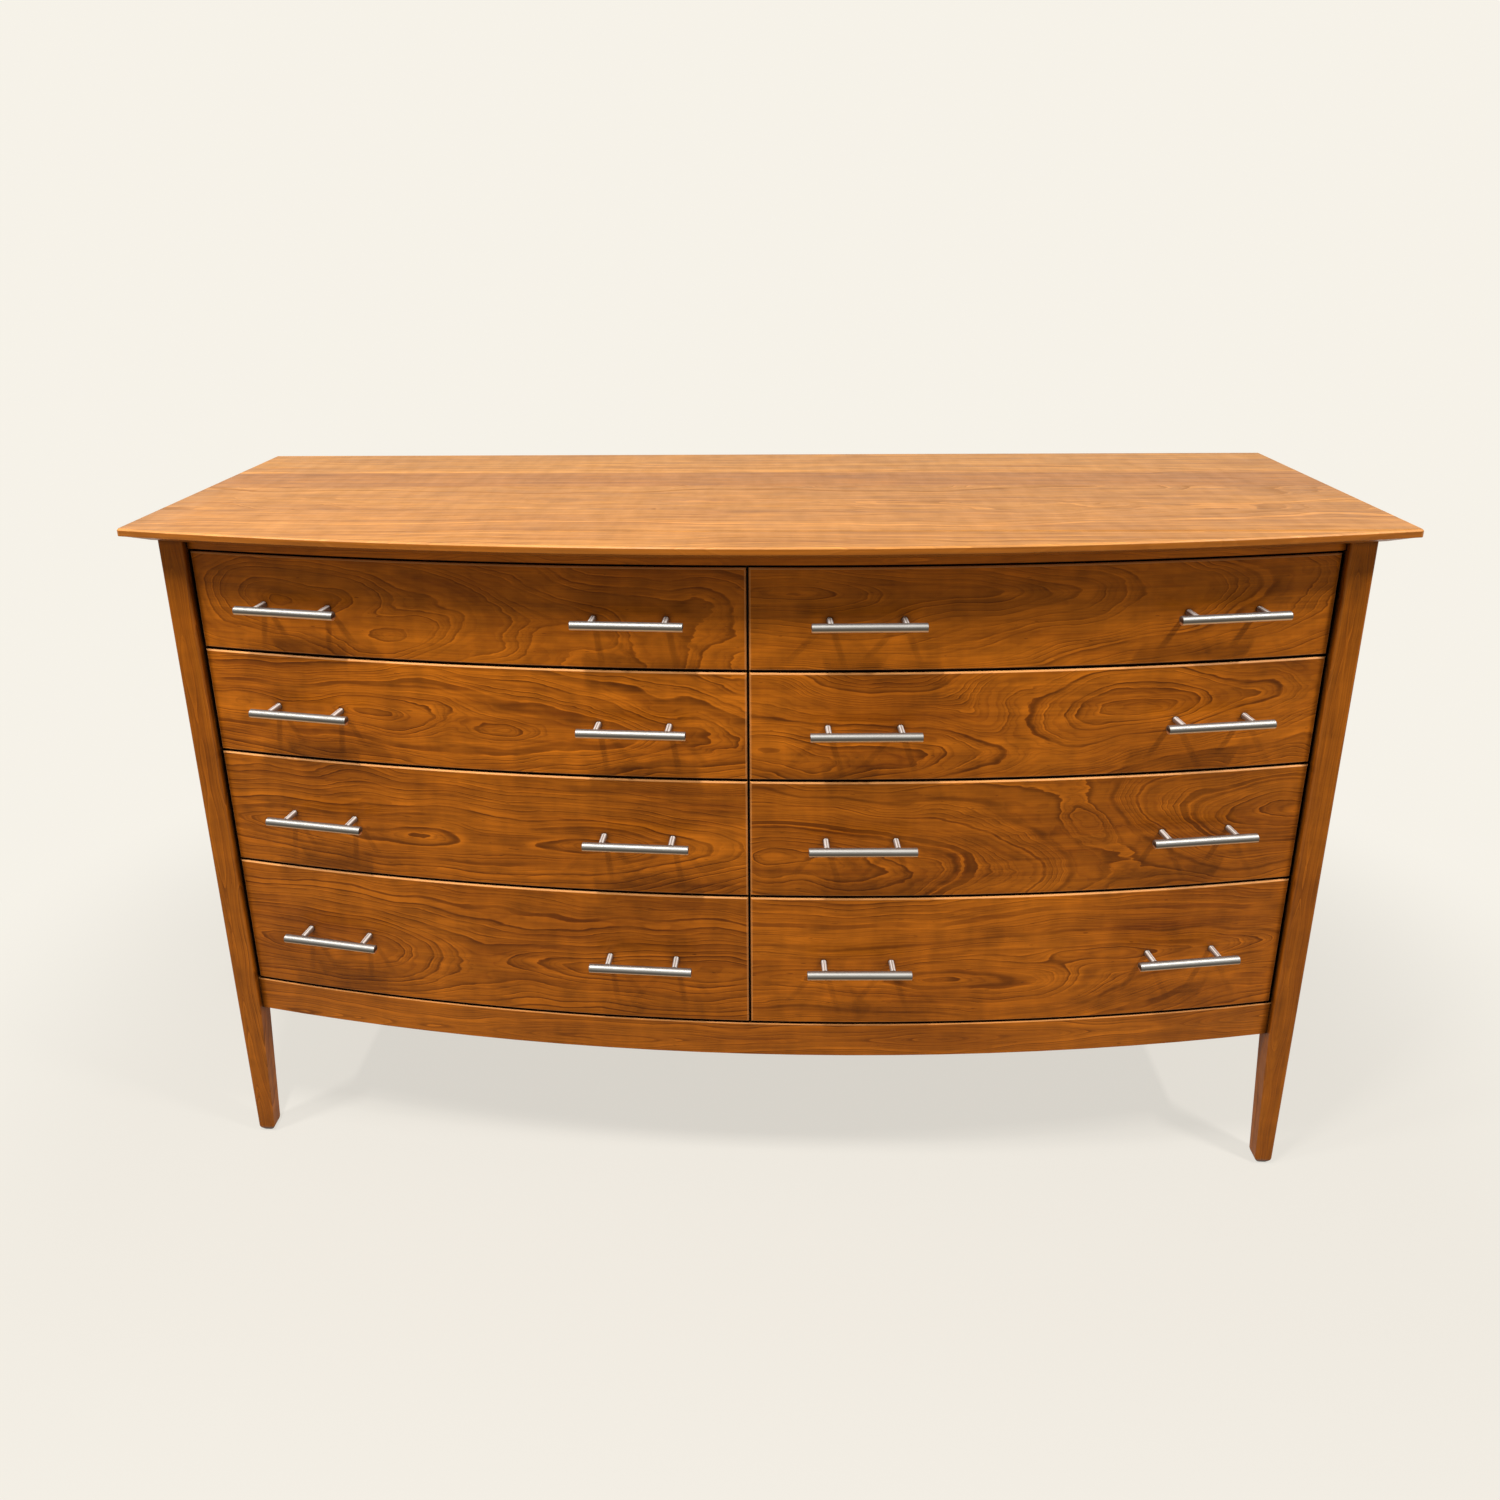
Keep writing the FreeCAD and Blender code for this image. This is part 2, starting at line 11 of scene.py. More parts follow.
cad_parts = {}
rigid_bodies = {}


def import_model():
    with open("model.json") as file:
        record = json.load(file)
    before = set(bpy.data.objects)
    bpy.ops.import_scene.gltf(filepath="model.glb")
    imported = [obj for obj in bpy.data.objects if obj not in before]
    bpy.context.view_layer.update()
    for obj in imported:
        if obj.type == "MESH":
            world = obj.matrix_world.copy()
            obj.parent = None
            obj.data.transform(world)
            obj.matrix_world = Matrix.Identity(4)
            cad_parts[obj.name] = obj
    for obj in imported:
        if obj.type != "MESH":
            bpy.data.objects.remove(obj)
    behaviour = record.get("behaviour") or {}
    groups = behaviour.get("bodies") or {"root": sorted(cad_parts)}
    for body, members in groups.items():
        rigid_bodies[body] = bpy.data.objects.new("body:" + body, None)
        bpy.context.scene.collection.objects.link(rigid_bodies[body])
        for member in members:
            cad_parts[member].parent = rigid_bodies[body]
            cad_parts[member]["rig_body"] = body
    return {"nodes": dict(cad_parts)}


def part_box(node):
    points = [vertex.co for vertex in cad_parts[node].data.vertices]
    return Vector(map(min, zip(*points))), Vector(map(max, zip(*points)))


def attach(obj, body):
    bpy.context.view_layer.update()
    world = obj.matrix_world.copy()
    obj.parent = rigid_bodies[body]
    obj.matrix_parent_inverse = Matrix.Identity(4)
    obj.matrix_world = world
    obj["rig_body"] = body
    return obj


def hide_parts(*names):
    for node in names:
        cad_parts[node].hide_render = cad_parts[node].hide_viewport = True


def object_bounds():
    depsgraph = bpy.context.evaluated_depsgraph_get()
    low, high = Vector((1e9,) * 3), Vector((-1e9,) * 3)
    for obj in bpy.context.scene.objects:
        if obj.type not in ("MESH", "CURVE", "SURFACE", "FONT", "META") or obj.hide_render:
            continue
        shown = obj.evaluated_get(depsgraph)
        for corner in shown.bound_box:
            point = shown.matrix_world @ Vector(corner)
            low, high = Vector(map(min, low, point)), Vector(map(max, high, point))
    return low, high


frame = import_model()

bl_info = {
    "name": "Bow-front dresser",
    "version": (1, 0, 0),
    "blender": (4, 5, 0),
    "location": "View3D > Sidebar > Dresser",
    "description": "Finishes a bow-front cherry dresser: eased boards, figured wood, bar pulls and screws",
    "category": "Object",
}

# The object's own box, before anything is added to it
frame_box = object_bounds()

COLUMNS = ("left", "right")
ROWS = (1, 2, 3, 4)
DRAWERS = [(column, row) for column in COLUMNS for row in ROWS]
UP = Vector((0, 0, 1))

# Joining the CAD triangles into whole faces
WELD = 0.00002
FLAT = math.radians(0.4)

# Corners: the angle of one to ease and of a smooth bend, the shortest one that is eased, and the
# width of a face that is itself an arris
CORNER = math.radians(25)
SMOOTH = math.radians(40)
SHORTEST_ARRIS = 0.012
NARROW = 0.0035

# Rounding of the legs' arrises and of the start of the feet's bevel
LEG_ROUND = 0.0011
FOOT_ROUND = 0.0035
ROUND_STEPS = 3

# Directions of a face, from the parts of its normal, and the painted highlight of an upright arris
FACES_FRONT = -0.9
FACES_CORNER = 0.2
SLOPED = 0.3
END_GRAIN = 0.85
UPRIGHT_HIGHLIGHT = 0.4


# User settings

class WoodSettings(bpy.types.PropertyGroup):
    """Colours of the woods and the easing of their corners."""
    front_colour: FloatVectorProperty(
        name="Fronts", description="Early wood of the drawer fronts", subtype="COLOR",
        size=3, min=0, max=1, default=(0.427, 0.119, 0.0048))
    frame_colour: FloatVectorProperty(
        name="Frame", description="Early wood of legs and rails", subtype="COLOR",
        size=3, min=0, max=1, default=(0.38, 0.108, 0.005))
    # The top's colour is painted lighter than the fronts', as painted light from above on the same wood
    top_colour: FloatVectorProperty(
        name="Top", description="Early wood of the top board", subtype="COLOR",
        size=3, min=0, max=1, default=(0.47, 0.192, 0.037))
    panel_colour: FloatVectorProperty(
        name="Panels", description="Veneer of the hidden panels", subtype="COLOR",
        size=3, min=0, max=1, default=(0.44, 0.175, 0.045))
    maple_colour: FloatVectorProperty(
        name="Maple", description="Early wood of the drawer boxes", subtype="COLOR",
        size=3, min=0, max=1, default=(0.72, 0.55, 0.36))
    # Colour of the painted highlight on the upper arrises
    arris_highlight_colour: FloatVectorProperty(
        name="Highlight", description="Wood where hands rub the upper corners", subtype="COLOR",
        size=3, min=0, max=1, default=(0.85, 0.39, 0.13))
    arris: FloatProperty(
        name="Arris", description="Rounding of the eased corners", subtype="DISTANCE",
        unit="LENGTH", min=0, default=0.0006)
    arris_steps: IntProperty(
        name="Arris steps", description="Facets across a rounded corner", min=1, default=2)
    ring: FloatProperty(
        name="Ring", description="Width of one year's growth", subtype="DISTANCE",
        unit="LENGTH", min=0.0001, default=0.0065)


class PullSettings(bpy.types.PropertyGroup):
    """Fineness and metal of the bar pulls, whose sizes come from the frame."""
    bar_sides: IntProperty(name="Bar sides", description="Facets round a bar", min=8, default=48)
    post_sides: IntProperty(name="Post sides", description="Facets round a post", min=8, default=32)
    rim: FloatProperty(
        name="Rim", description="Rounding of the bar's ends", subtype="DISTANCE",
        unit="LENGTH", min=0, default=0.0006)
    metal_colour: FloatVectorProperty(
        name="Metal", description="Colour of the brushed metal", subtype="COLOR",
        size=3, min=0, max=1, default=(0.33, 0.328, 0.322))


class ScrewSettings(bpy.types.PropertyGroup):
    """Pan-head screws of pulls, slides, clips and back panel, and the plated steel."""
    head_diameter: FloatProperty(
        name="Head", description="Diameter of a screw head", subtype="DISTANCE",
        unit="LENGTH", min=0.001, default=0.0076)
    head_height: FloatProperty(
        name="Height", description="Height of a screw head", subtype="DISTANCE",
        unit="LENGTH", min=0.0005, default=0.0018)
    back_spacing: FloatProperty(
        name="Back spacing", description="Distance between the screws of the back panel",
        subtype="DISTANCE", unit="LENGTH", min=0.02, default=0.19)
    zinc_colour: FloatVectorProperty(
        name="Zinc", description="Colour of the plated steel", subtype="COLOR",
        size=3, min=0, max=1, default=(0.55, 0.56, 0.58))


class StageSettings(bpy.types.PropertyGroup):
    """Floor, light and camera round the dresser."""
    backdrop: FloatVectorProperty(
        name="Backdrop", description="Colour behind the dresser", subtype="COLOR",
        size=3, min=0, max=1, default=(0.923, 0.888, 0.811))
    floor_colour: FloatVectorProperty(
        name="Floor", description="Colour of the floor", subtype="COLOR",
        size=3, min=0, max=1, default=(0.52, 0.50, 0.47))
    sky: FloatProperty(name="Sky", description="Strength of the light from all round", min=0, default=0.17)
    lamps: FloatProperty(
        name="Lamps", description="Power of the strongest ceiling lamp", subtype="POWER",
        unit="POWER", min=0, default=76)
    lens: FloatProperty(
        name="Lens", description="Focal length of the camera, in millimetres", min=1, default=25.779)


# Small helpers for node trees

def feed(tree, socket, value):
    """Set an input to a value, or join it to another socket."""
    if isinstance(value, bpy.types.NodeSocket):
        tree.links.new(value, socket)
    else:
        socket.default_value = value


def add(tree, kind, values=None, **settings):
    """One node with its plain settings and its inputs."""
    made = tree.nodes.new(kind)
    for name, value in settings.items():
        setattr(made, name, value)
    for key, value in (values or {}).items():
        feed(tree, made.inputs[key], value)
    return made


def maths(tree, operation, *values):
    """Result of a sum on one, two or three numbers."""
    return add(tree, "ShaderNodeMath", dict(enumerate(values)), operation=operation).outputs[0]


def summed(tree, start, *parts):
    """A number plus other numbers, each times its weight."""
    for value, weight in parts:
        start = maths(tree, "MULTIPLY_ADD", value, weight, start)
    return start


def vector_maths(tree, operation, *values):
    """Result of a sum on vectors."""
    made = add(tree, "ShaderNodeVectorMath", dict(enumerate(values)), operation=operation)
    return made.outputs["Value" if operation == "LENGTH" else "Vector"]


def brighter(tree, colour, amount):
    """A colour multiplied by a number."""
    made = add(tree, "ShaderNodeVectorMath", {0: colour, "Scale": amount}, operation="SCALE")
    return made.outputs["Vector"]


def joined(tree, x=0.0, y=0.0, z=0.0):
    """A vector from three numbers."""
    return add(tree, "ShaderNodeCombineXYZ", {"X": x, "Y": y, "Z": z}).outputs[0]


def parted(tree, vector):
    """The three numbers of a vector."""
    return add(tree, "ShaderNodeSeparateXYZ", {0: vector}).outputs


def ranged(tree, value, low, high, to_low=0.0, to_high=1.0, kind="SMOOTHSTEP"):
    """A number eased from one range into another."""
    inputs = {"Value": value, "From Min": low, "From Max": high, "To Min": to_low, "To Max": to_high}
    return add(tree, "ShaderNodeMapRange", inputs, interpolation_type=kind).outputs["Result"]


def noise(tree, vector, grains, detail=2.0, roughness=0.5):
    """Noise about zero, with so many grains to the metre along each axis."""
    scaled = vector_maths(tree, "MULTIPLY", vector, grains)
    made = add(tree, "ShaderNodeTexNoise",
               {"Vector": scaled, "Scale": 1.0, "Detail": detail, "Roughness": roughness})
    return maths(tree, "SUBTRACT", made.outputs[0], 0.5)


def blended(tree, factor, first, second):
    """Two colours mixed."""
    made = add(tree, "ShaderNodeMix", data_type="RGBA")
    for index, value in ((0, factor), (6, first), (7, second)):
        feed(tree, made.inputs[index], value)
    return made.outputs[2]


def attribute(tree, name, output="Fac"):
    """An attribute that the mesh carries."""
    return add(tree, "ShaderNodeAttribute", attribute_name=name).outputs[output]


def new_material(name):
    """Empty material, its tree and its shader."""
    material = bpy.data.materials.new(name)
    material.use_nodes = True
    tree = material.node_tree
    return material, tree, tree.nodes["Principled BSDF"]


def opaque(colour):
    """Colour with full alpha."""
    return (*colour, 1.0)


# Woods

# Noise in the wood, in grains to the metre along, across and through a board
BROAD_SWAY = (2.6, 7.0, 7.0)
MIDDLE_SWAY = (10.0, 17.0, 17.0)
JAGGED_SWAY = (26.0, 75.0, 75.0)
LINE_BREAKS = (12.0, 30.0, 30.0)
FIBRES = (9.0, 480.0, 480.0)
STREAKS = (3.0, 110.0, 110.0)
SHIMMER = (48.0, 16.0, 16.0)
RIPPLES = (20.0, 60.0, 60.0)
CLOUDS = (4.0, 12.0, 12.0)
FLECKS = (70.0, 420.0, 420.0)
EDGE_STREAKS = (3.0, 90.0, 300.0)

# How much the finer sways add to the broad one, and how softly the rings of two hearts meet, in metres
MIDDLE_SHARE = 0.32
JAGGED_SHARE = 0.07
HEARTS_MEET = 0.015

# How unevenly the years follow one another, how faint a year may be, and the noise over which a line
# is whole again after a break, and how much of it is left there
YEARS_SWAY = 2.4
YEARS_SCALE = 0.6
WEAKEST_YEAR = 0.35
BREAKS = (-0.16, 0.06)
BROKEN_LINE = 0.5

# One year's growth from 0 to 1: how late its wood darkens, where its line rises and ends, where the
# pale start of the next year fades, and the same for the faint lines between
LATE_POWER = 2.0
LINE_RISE = (0.68, 0.90)
LINE_END = (0.93, 1.0)
PALE_FADE = (0.02, 0.25)
FAINT_LINES = 3.0
FAINT_RISE = (0.45, 0.9)
FAINT_END = (0.92, 1.0)

# Noise over which a dark fleck starts
FLECK_EDGE = (0.335, 0.36)

# Weight of each part of the figure in the wood's darkness, brightness, roughness and height
DARKNESS = {"plain": 0.2, "late": 0.38, "cloud": 1.2, "streak": 0.9, "faint": 0.22, "fleck": 0.7}
BRIGHTNESS = {"fibre": 0.7, "pale": 0.36, "ripple": 1.5, "mottle": 0.45, "end": 0.7}
ROUGHNESS = {"plain": 0.38, "line": 0.10, "fibre": 0.18, "shimmer": -0.12, "end": 0.22}
HEIGHT = {"fibre": 0.9, "line": -0.6}

# Steps that take each seed to wood of its own
SEED_SHIFT = (1.31, 2.17, 0.77)


def heart_distance(tree, board, heart, given):
    """Distance from the heart of the log, growing slowly along the board and fast across it."""
    place = parted(tree, vector_maths(tree, "SUBTRACT", board, heart))
    behind = maths(tree, "MINIMUM", place[0], 0.0)
    along = maths(tree, "MULTIPLY", place[0], given["Stretch"])
    leaning = maths(tree, "MULTIPLY", given["Stretch"], given["Lean"])
    along = maths(tree, "MULTIPLY_ADD", behind, leaning, along)
    deep = maths(tree, "ADD", place[2], given["Depth"])
    return vector_maths(tree, "LENGTH", joined(tree, along, place[1], deep))


def ring_distance(tree, given, board, place):
    """Distance from the nearer of two hearts, made uneven as the log grew."""
    broad = noise(tree, place, BROAD_SWAY, detail=0.0)
    middle = noise(tree, place, MIDDLE_SWAY, detail=0.0)
    jagged = noise(tree, place, JAGGED_SWAY)
    wander = summed(tree, broad, (middle, MIDDLE_SHARE), (jagged, JAGGED_SHARE))
    first = heart_distance(tree, board, given["Heart one"], given)
    second = maths(tree, "ADD", heart_distance(tree, board, given["Heart two"], given), given["Second"])
    nearer = maths(tree, "SMOOTH_MIN", first, second, HEARTS_MEET)
    return maths(tree, "MULTIPLY_ADD", wander, given["Wander"], nearer)


def stroke(tree, growth, rise, end):
    """A line that rises over one stretch of the growth and ends over another."""
    return maths(tree, "MULTIPLY", ranged(tree, growth, *rise), ranged(tree, growth, *end, 1.0, 0.0))


def growth_lines(tree, given, place):
    """What each year leaves: its late wood, its dark line, its pale start and the faint lines between."""
    years = maths(tree, "DIVIDE", ring_distance(tree, given, given["Board"], place), given["Ring"])
    uneven = add(tree, "ShaderNodeTexNoise",
                 {"W": maths(tree, "ADD", years, given["Seed"]), "Scale": YEARS_SCALE, "Detail": 0.0},
                 noise_dimensions="1D").outputs[0]
    years = maths(tree, "MULTIPLY_ADD", uneven, YEARS_SWAY, years)
    growth = maths(tree, "FRACT", years)

    # How strongly each year shows, and where along it the line fades
    year = maths(tree, "ADD", maths(tree, "FLOOR", years), given["Seed"])
    mark = add(tree, "ShaderNodeTexWhiteNoise", {"W": year}, noise_dimensions="1D").outputs[0]
    mark = ranged(tree, mark, 0.0, 1.0, WEAKEST_YEAR, 1.0, kind="LINEAR")
    broken = ranged(tree, noise(tree, place, LINE_BREAKS), *BREAKS, BROKEN_LINE, 1.0)
    mark = maths(tree, "MULTIPLY", mark, broken)

    # Each year ends in a thin dark line, and the next one starts a little paler
    late = maths(tree, "MULTIPLY", maths(tree, "POWER", growth, LATE_POWER), mark)
    line = maths(tree, "MULTIPLY", stroke(tree, growth, LINE_RISE, LINE_END), mark)
    pale = maths(tree, "MULTIPLY", ranged(tree, growth, *PALE_FADE, 1.0, 0.0), mark)
    within = maths(tree, "FRACT", maths(tree, "MULTIPLY_ADD", years, FAINT_LINES, broken))
    return late, line, pale, stroke(tree, within, FAINT_RISE, FAINT_END)


FIGURE_INPUTS = (
    ("Board", "Vector"), ("Heart one", "Vector"), ("Heart two", "Vector"), ("Second", "Float"),
    ("Stretch", "Float"), ("Lean", "Float"), ("Depth", "Float"), ("Ring", "Float"), ("Wander", "Float"),
    ("Seed", "Float"), ("Early", "Color"), ("Late", "Color"), ("Line", "Color"), ("Line strength", "Float"),
    ("Streak", "Float"), ("Mottle", "Float"), ("End", "Float"))


def wood_figure():
    """Growth rings cut by a board: its colour, roughness and height, as one group for all woods."""
    tree = bpy.data.node_groups.new("wood_figure", "ShaderNodeTree")
    for name, kind in FIGURE_INPUTS:
        tree.interface.new_socket(name=name, in_out="INPUT", socket_type="NodeSocket" + kind)
    for name, kind in (("Color", "Color"), ("Roughness", "Float"), ("Height", "Float")):
        tree.interface.new_socket(name=name, in_out="OUTPUT", socket_type="NodeSocket" + kind)
    given = tree.nodes.new("NodeGroupInput").outputs
    shift = joined(tree, *[maths(tree, "MULTIPLY", given["Seed"], step) for step in SEED_SHIFT])
    place = vector_maths(tree, "ADD", given["Board"], shift)
    late, line, pale, faint = growth_lines(tree, given, place)
    fibre = noise(tree, place, FIBRES, detail=3.0, roughness=0.6)
    streak = noise(tree, place, STREAKS)
    shimmer = noise(tree, place, SHIMMER)
    ripple = noise(tree, place, RIPPLES)
    cloud = noise(tree, place, CLOUDS)
    fleck = ranged(tree, noise(tree, place, FLECKS, detail=0.0), *FLECK_EDGE)

    # Early wood darkens into late wood, and the lines and flecks are drawn over both
    streaked = maths(tree, "MULTIPLY", given["Streak"], DARKNESS["streak"])
    shade = summed(tree, maths(tree, "MULTIPLY", late, DARKNESS["late"]), (cloud, DARKNESS["cloud"]),
                   (streak, streaked), (faint, DARKNESS["faint"]))
    shade = add(tree, "ShaderNodeClamp", {"Value": maths(tree, "ADD", shade, DARKNESS["plain"])}).outputs[0]
    colour = blended(tree, shade, given["Early"], given["Late"])
    drawn = maths(tree, "MAXIMUM", maths(tree, "MULTIPLY", line, given["Line strength"]),
                  maths(tree, "MULTIPLY", fleck, DARKNESS["fleck"]))
    colour = blended(tree, drawn, colour, given["Line"])

    # Fibres streak the wood, ripples and shimmer add a painted sheen, and wood cut across the grain is darker
    glint = maths(tree, "MULTIPLY_ADD", ripple, BRIGHTNESS["ripple"], shimmer)
    mottle = maths(tree, "MULTIPLY", glint, given["Mottle"])
    light = summed(tree, 1.0, (fibre, BRIGHTNESS["fibre"]), (pale, BRIGHTNESS["pale"]),
                   (mottle, BRIGHTNESS["mottle"]))
    across = ranged(tree, given["End"], 0.0, 1.0, 1.0, BRIGHTNESS["end"], kind="LINEAR")
    light = maths(tree, "MULTIPLY", light, across)

    rough = summed(tree, ROUGHNESS["plain"], (line, ROUGHNESS["line"]), (fibre, ROUGHNESS["fibre"]),
                   (shimmer, ROUGHNESS["shimmer"]), (given["End"], ROUGHNESS["end"]))
    height = summed(tree, maths(tree, "MULTIPLY", fibre, HEIGHT["fibre"]), (line, HEIGHT["line"]))
    add(tree, "NodeGroupOutput",
        {"Color": brighter(tree, colour, light), "Roughness": rough, "Height": height})
    return tree


# Kinds of finish: late wood and ring lines as shares of the early wood's colour, the weight of the
# lines, streaks and mottle (a painted sheen), the gloss, and the strength of the painted highlight on
# the upper arrises and of the painted shade on the lower ones
FINISHES = {
    "front": {"late": 0.42, "line": 0.25, "strength": 0.72, "streak": 1.0, "mottle": 1.2, "gloss": 0.08,
              "painted_arris": 0.80},
    "frame": {"late": 0.50, "line": 0.24, "strength": 0.65, "streak": 1.0, "mottle": 0.8, "gloss": 0.09,
              "painted_arris": 0.50},
    "leg": {"late": 0.52, "line": 0.40, "strength": 0.40, "streak": 1.5, "mottle": 0.8, "gloss": 0.09,
            "painted_arris": 0.10},
    "top": {"late": 0.66, "line": 0.50, "strength": 0.42, "streak": 2.9, "mottle": 0.75, "gloss": 0.16,
            "painted_arris": 0.32},
    "panel": {"late": 0.72, "line": 0.45, "strength": 0.55, "streak": 1.0, "mottle": 0.6, "gloss": 0.20,
              "painted_arris": 0.0},
    "maple": {"late": 0.86, "line": 0.68, "strength": 0.50, "streak": 1.0, "mottle": 0.5, "gloss": 0.25,
              "painted_arris": 0.1},
}


# How far each glued board is cut from the last one, along and across the log, and its seed from the last
LOG_STEPS = (0.83, 0.037)
LOG_SEED_STEP = 5.3


def glued_up(tree, place, seams):
    """Number of the glued board under a place, and the place moved to that board's own log."""
    along, across, deep = parted(tree, place)
    number = 0.0
    for seam in seams:
        number = maths(tree, "ADD", maths(tree, "GREATER_THAN", across, seam), number)
    along = maths(tree, "MULTIPLY_ADD", number, LOG_STEPS[0], along)
    across = maths(tree, "MULTIPLY_ADD", number, LOG_STEPS[1], across)
    return number, joined(tree, along, across, deep)


def board_tones(tree, number, tones):
    """Red, green and blue of each glued board, as shares of the wood's colour."""
    count = len(tones)
    brightest = max(max(tone) for tone in tones)
    share = maths(tree, "DIVIDE", maths(tree, "ADD", number, 0.5), count)
    made = add(tree, "ShaderNodeValToRGB", {"Fac": share})
    ramp = made.color_ramp
    ramp.interpolation = "CONSTANT"
    while len(ramp.elements) < count:
        ramp.elements.new(1.0)
    for index, tone in enumerate(tones):
        ramp.elements[index].position = index / count
        ramp.elements[index].color = opaque([channel / brightest for channel in tone])
    return brighter(tree, made.outputs[0], brightest)


def strip_shade(tree, place, strips):
    """Brightness of the strips of sapwood and of late wood that lie along the seams."""
    across = parted(tree, place)[1]
    shade = 1.0
    for middle, half_width, change in strips:
        away = maths(tree, "ABSOLUTE", maths(tree, "SUBTRACT", across, middle))
        shade = maths(tree, "ADD", ranged(tree, away, 0.0, half_width, change, 0.0), shade)
    return shade


# Painted shade that darkens the wood inside narrow gaps: how far a wall still counts, how open a dark
# and an unshaded place are, and what is added to the openness away from the upper arrises
GAP_REACH = 0.010
GAP_OPENING = (0.38, 0.75)
GAP_SHIFT = -0.14
GAP_SAMPLES = 4
GAP_PAINTED_SHADE = (0.012, 0.006, 0.003)


def gap_shade(tree, upper):
    """Painted shade: 0 deep in a narrow gap, 1 on an open face; upper arrises stay unshaded further in."""
    openness = add(tree, "ShaderNodeAmbientOcclusion", {"Distance": GAP_REACH},
                   samples=GAP_SAMPLES).outputs["AO"]
    elsewhere = maths(tree, "SUBTRACT", 1.0, upper)
    return ranged(tree, maths(tree, "MULTIPLY_ADD", elsewhere, GAP_SHIFT, openness), *GAP_OPENING)


# How late wood and ring lines shift from the early wood's red, green and blue, as powers of their share
LATE_HUE = (1.0, 1.25, 1.6)
LINE_HUE = (1.0, 1.1, 1.2)

# Edges of a board, without the top face's painted light: the brightness, the weight of its streaks,
# and how much of the figure they hide
EDGE_LIGHT = 0.80
EDGE_STREAKED = 0.9
EDGE_COVER = 0.85

# Height of the grain in the bump, in metres, and how strongly it shows
GRAIN_DEPTH = 0.0003
GRAIN_BUMP = 0.35


def darker(colour, share, hue):
    """A share of a colour, with its green and blue shifted."""
    return opaque([channel * share ** power for channel, power in zip(colour, hue)])


def wood(name, rings, colour, finish, tone=1.0, bold=1.0, tones=(), seams=(), strips=(), edge=None):
    """Oiled wood with the rings of its boards, read from the piece's own grain coordinates."""
    kind = FINISHES[finish]
    early = [channel * tone for channel in colour]
    late = 1.0 - (1.0 - kind["late"]) * bold
    material, tree, shader = new_material(name)
    place = attribute(tree, "grain", "Vector")
    board = place
    seed = rings["Seed"]
    if seams:
        number, board = glued_up(tree, place, seams)
        seed = maths(tree, "MULTIPLY_ADD", number, LOG_SEED_STEP, seed)
    values = {
        **rings, "Board": board, "Seed": seed, "Early": opaque(early), "Late": darker(early, late, LATE_HUE),
        "Line": darker(early, kind["line"], LINE_HUE), "Line strength": kind["strength"] * bold,
        "Streak": kind["streak"], "Mottle": kind["mottle"], "End": attribute(tree, "end_grain")}
    cut = add(tree, "ShaderNodeGroup", node_tree=bpy.data.node_groups["wood_figure"])
    for key, value in values.items():
        feed(tree, cut.inputs[key], value)
    base = cut.outputs["Color"]
    if seams:
        base = vector_maths(tree, "MULTIPLY", base, board_tones(tree, number, tones))
    if strips:
        base = brighter(tree, base, strip_shade(tree, place, strips))
    # Faces that do not look up take the frame's darker colour, without the top face's painted light
    if edge:
        streaks = noise(tree, place, EDGE_STREAKS, detail=3.0)
        plain = brighter(tree, edge, maths(tree, "MULTIPLY_ADD", streaks, EDGE_STREAKED, EDGE_LIGHT))
        base = blended(tree, maths(tree, "MULTIPLY", attribute(tree, "edge"), EDGE_COVER), base, plain)

    # Painted highlight on the upper and upright arrises, and painted shade on the lower ones
    arris = attribute(tree, "arris")
    upper = maths(tree, "MAXIMUM", arris, 0.0)
    painted_arris = opaque(bpy.context.scene.dresser_wood.arris_highlight_colour)
    highlighted = maths(tree, "MULTIPLY", upper, kind["painted_arris"])
    base = blended(tree, highlighted, base, painted_arris)
    base = brighter(tree, base, ranged(tree, arris, -1.0, 0.0, 1.0 - kind["painted_arris"], 1.0, kind="LINEAR"))
    # Painted shade deep in the narrow gaps
    base = blended(tree, gap_shade(tree, upper), opaque(GAP_PAINTED_SHADE), base)
    bump = add(tree, "ShaderNodeBump",
               {"Height": cut.outputs["Height"], "Strength": GRAIN_BUMP, "Distance": GRAIN_DEPTH})
    tree.links.new(base, shader.inputs["Base Color"])
    tree.links.new(cut.outputs["Roughness"], shader.inputs["Roughness"])
    tree.links.new(bump.outputs["Normal"], shader.inputs["Normal"])
    shader.inputs["Specular IOR Level"].default_value = kind["gloss"]
    return material


def figure(first, second, later=0.0, stretch=0.22, lean=0.3, depth=0.018, wander=0.075, seed=0.0, ring=None):
    """Rings of one board: two hearts given along and across it, in metres, and how they wander."""
    return {"Heart one": (*first, 0.0), "Heart two": (*second, 0.0), "Second": later, "Stretch": stretch,
            "Lean": lean, "Depth": depth, "Wander": wander, "Seed": seed,
            "Ring": ring or bpy.context.scene.dresser_wood.ring}


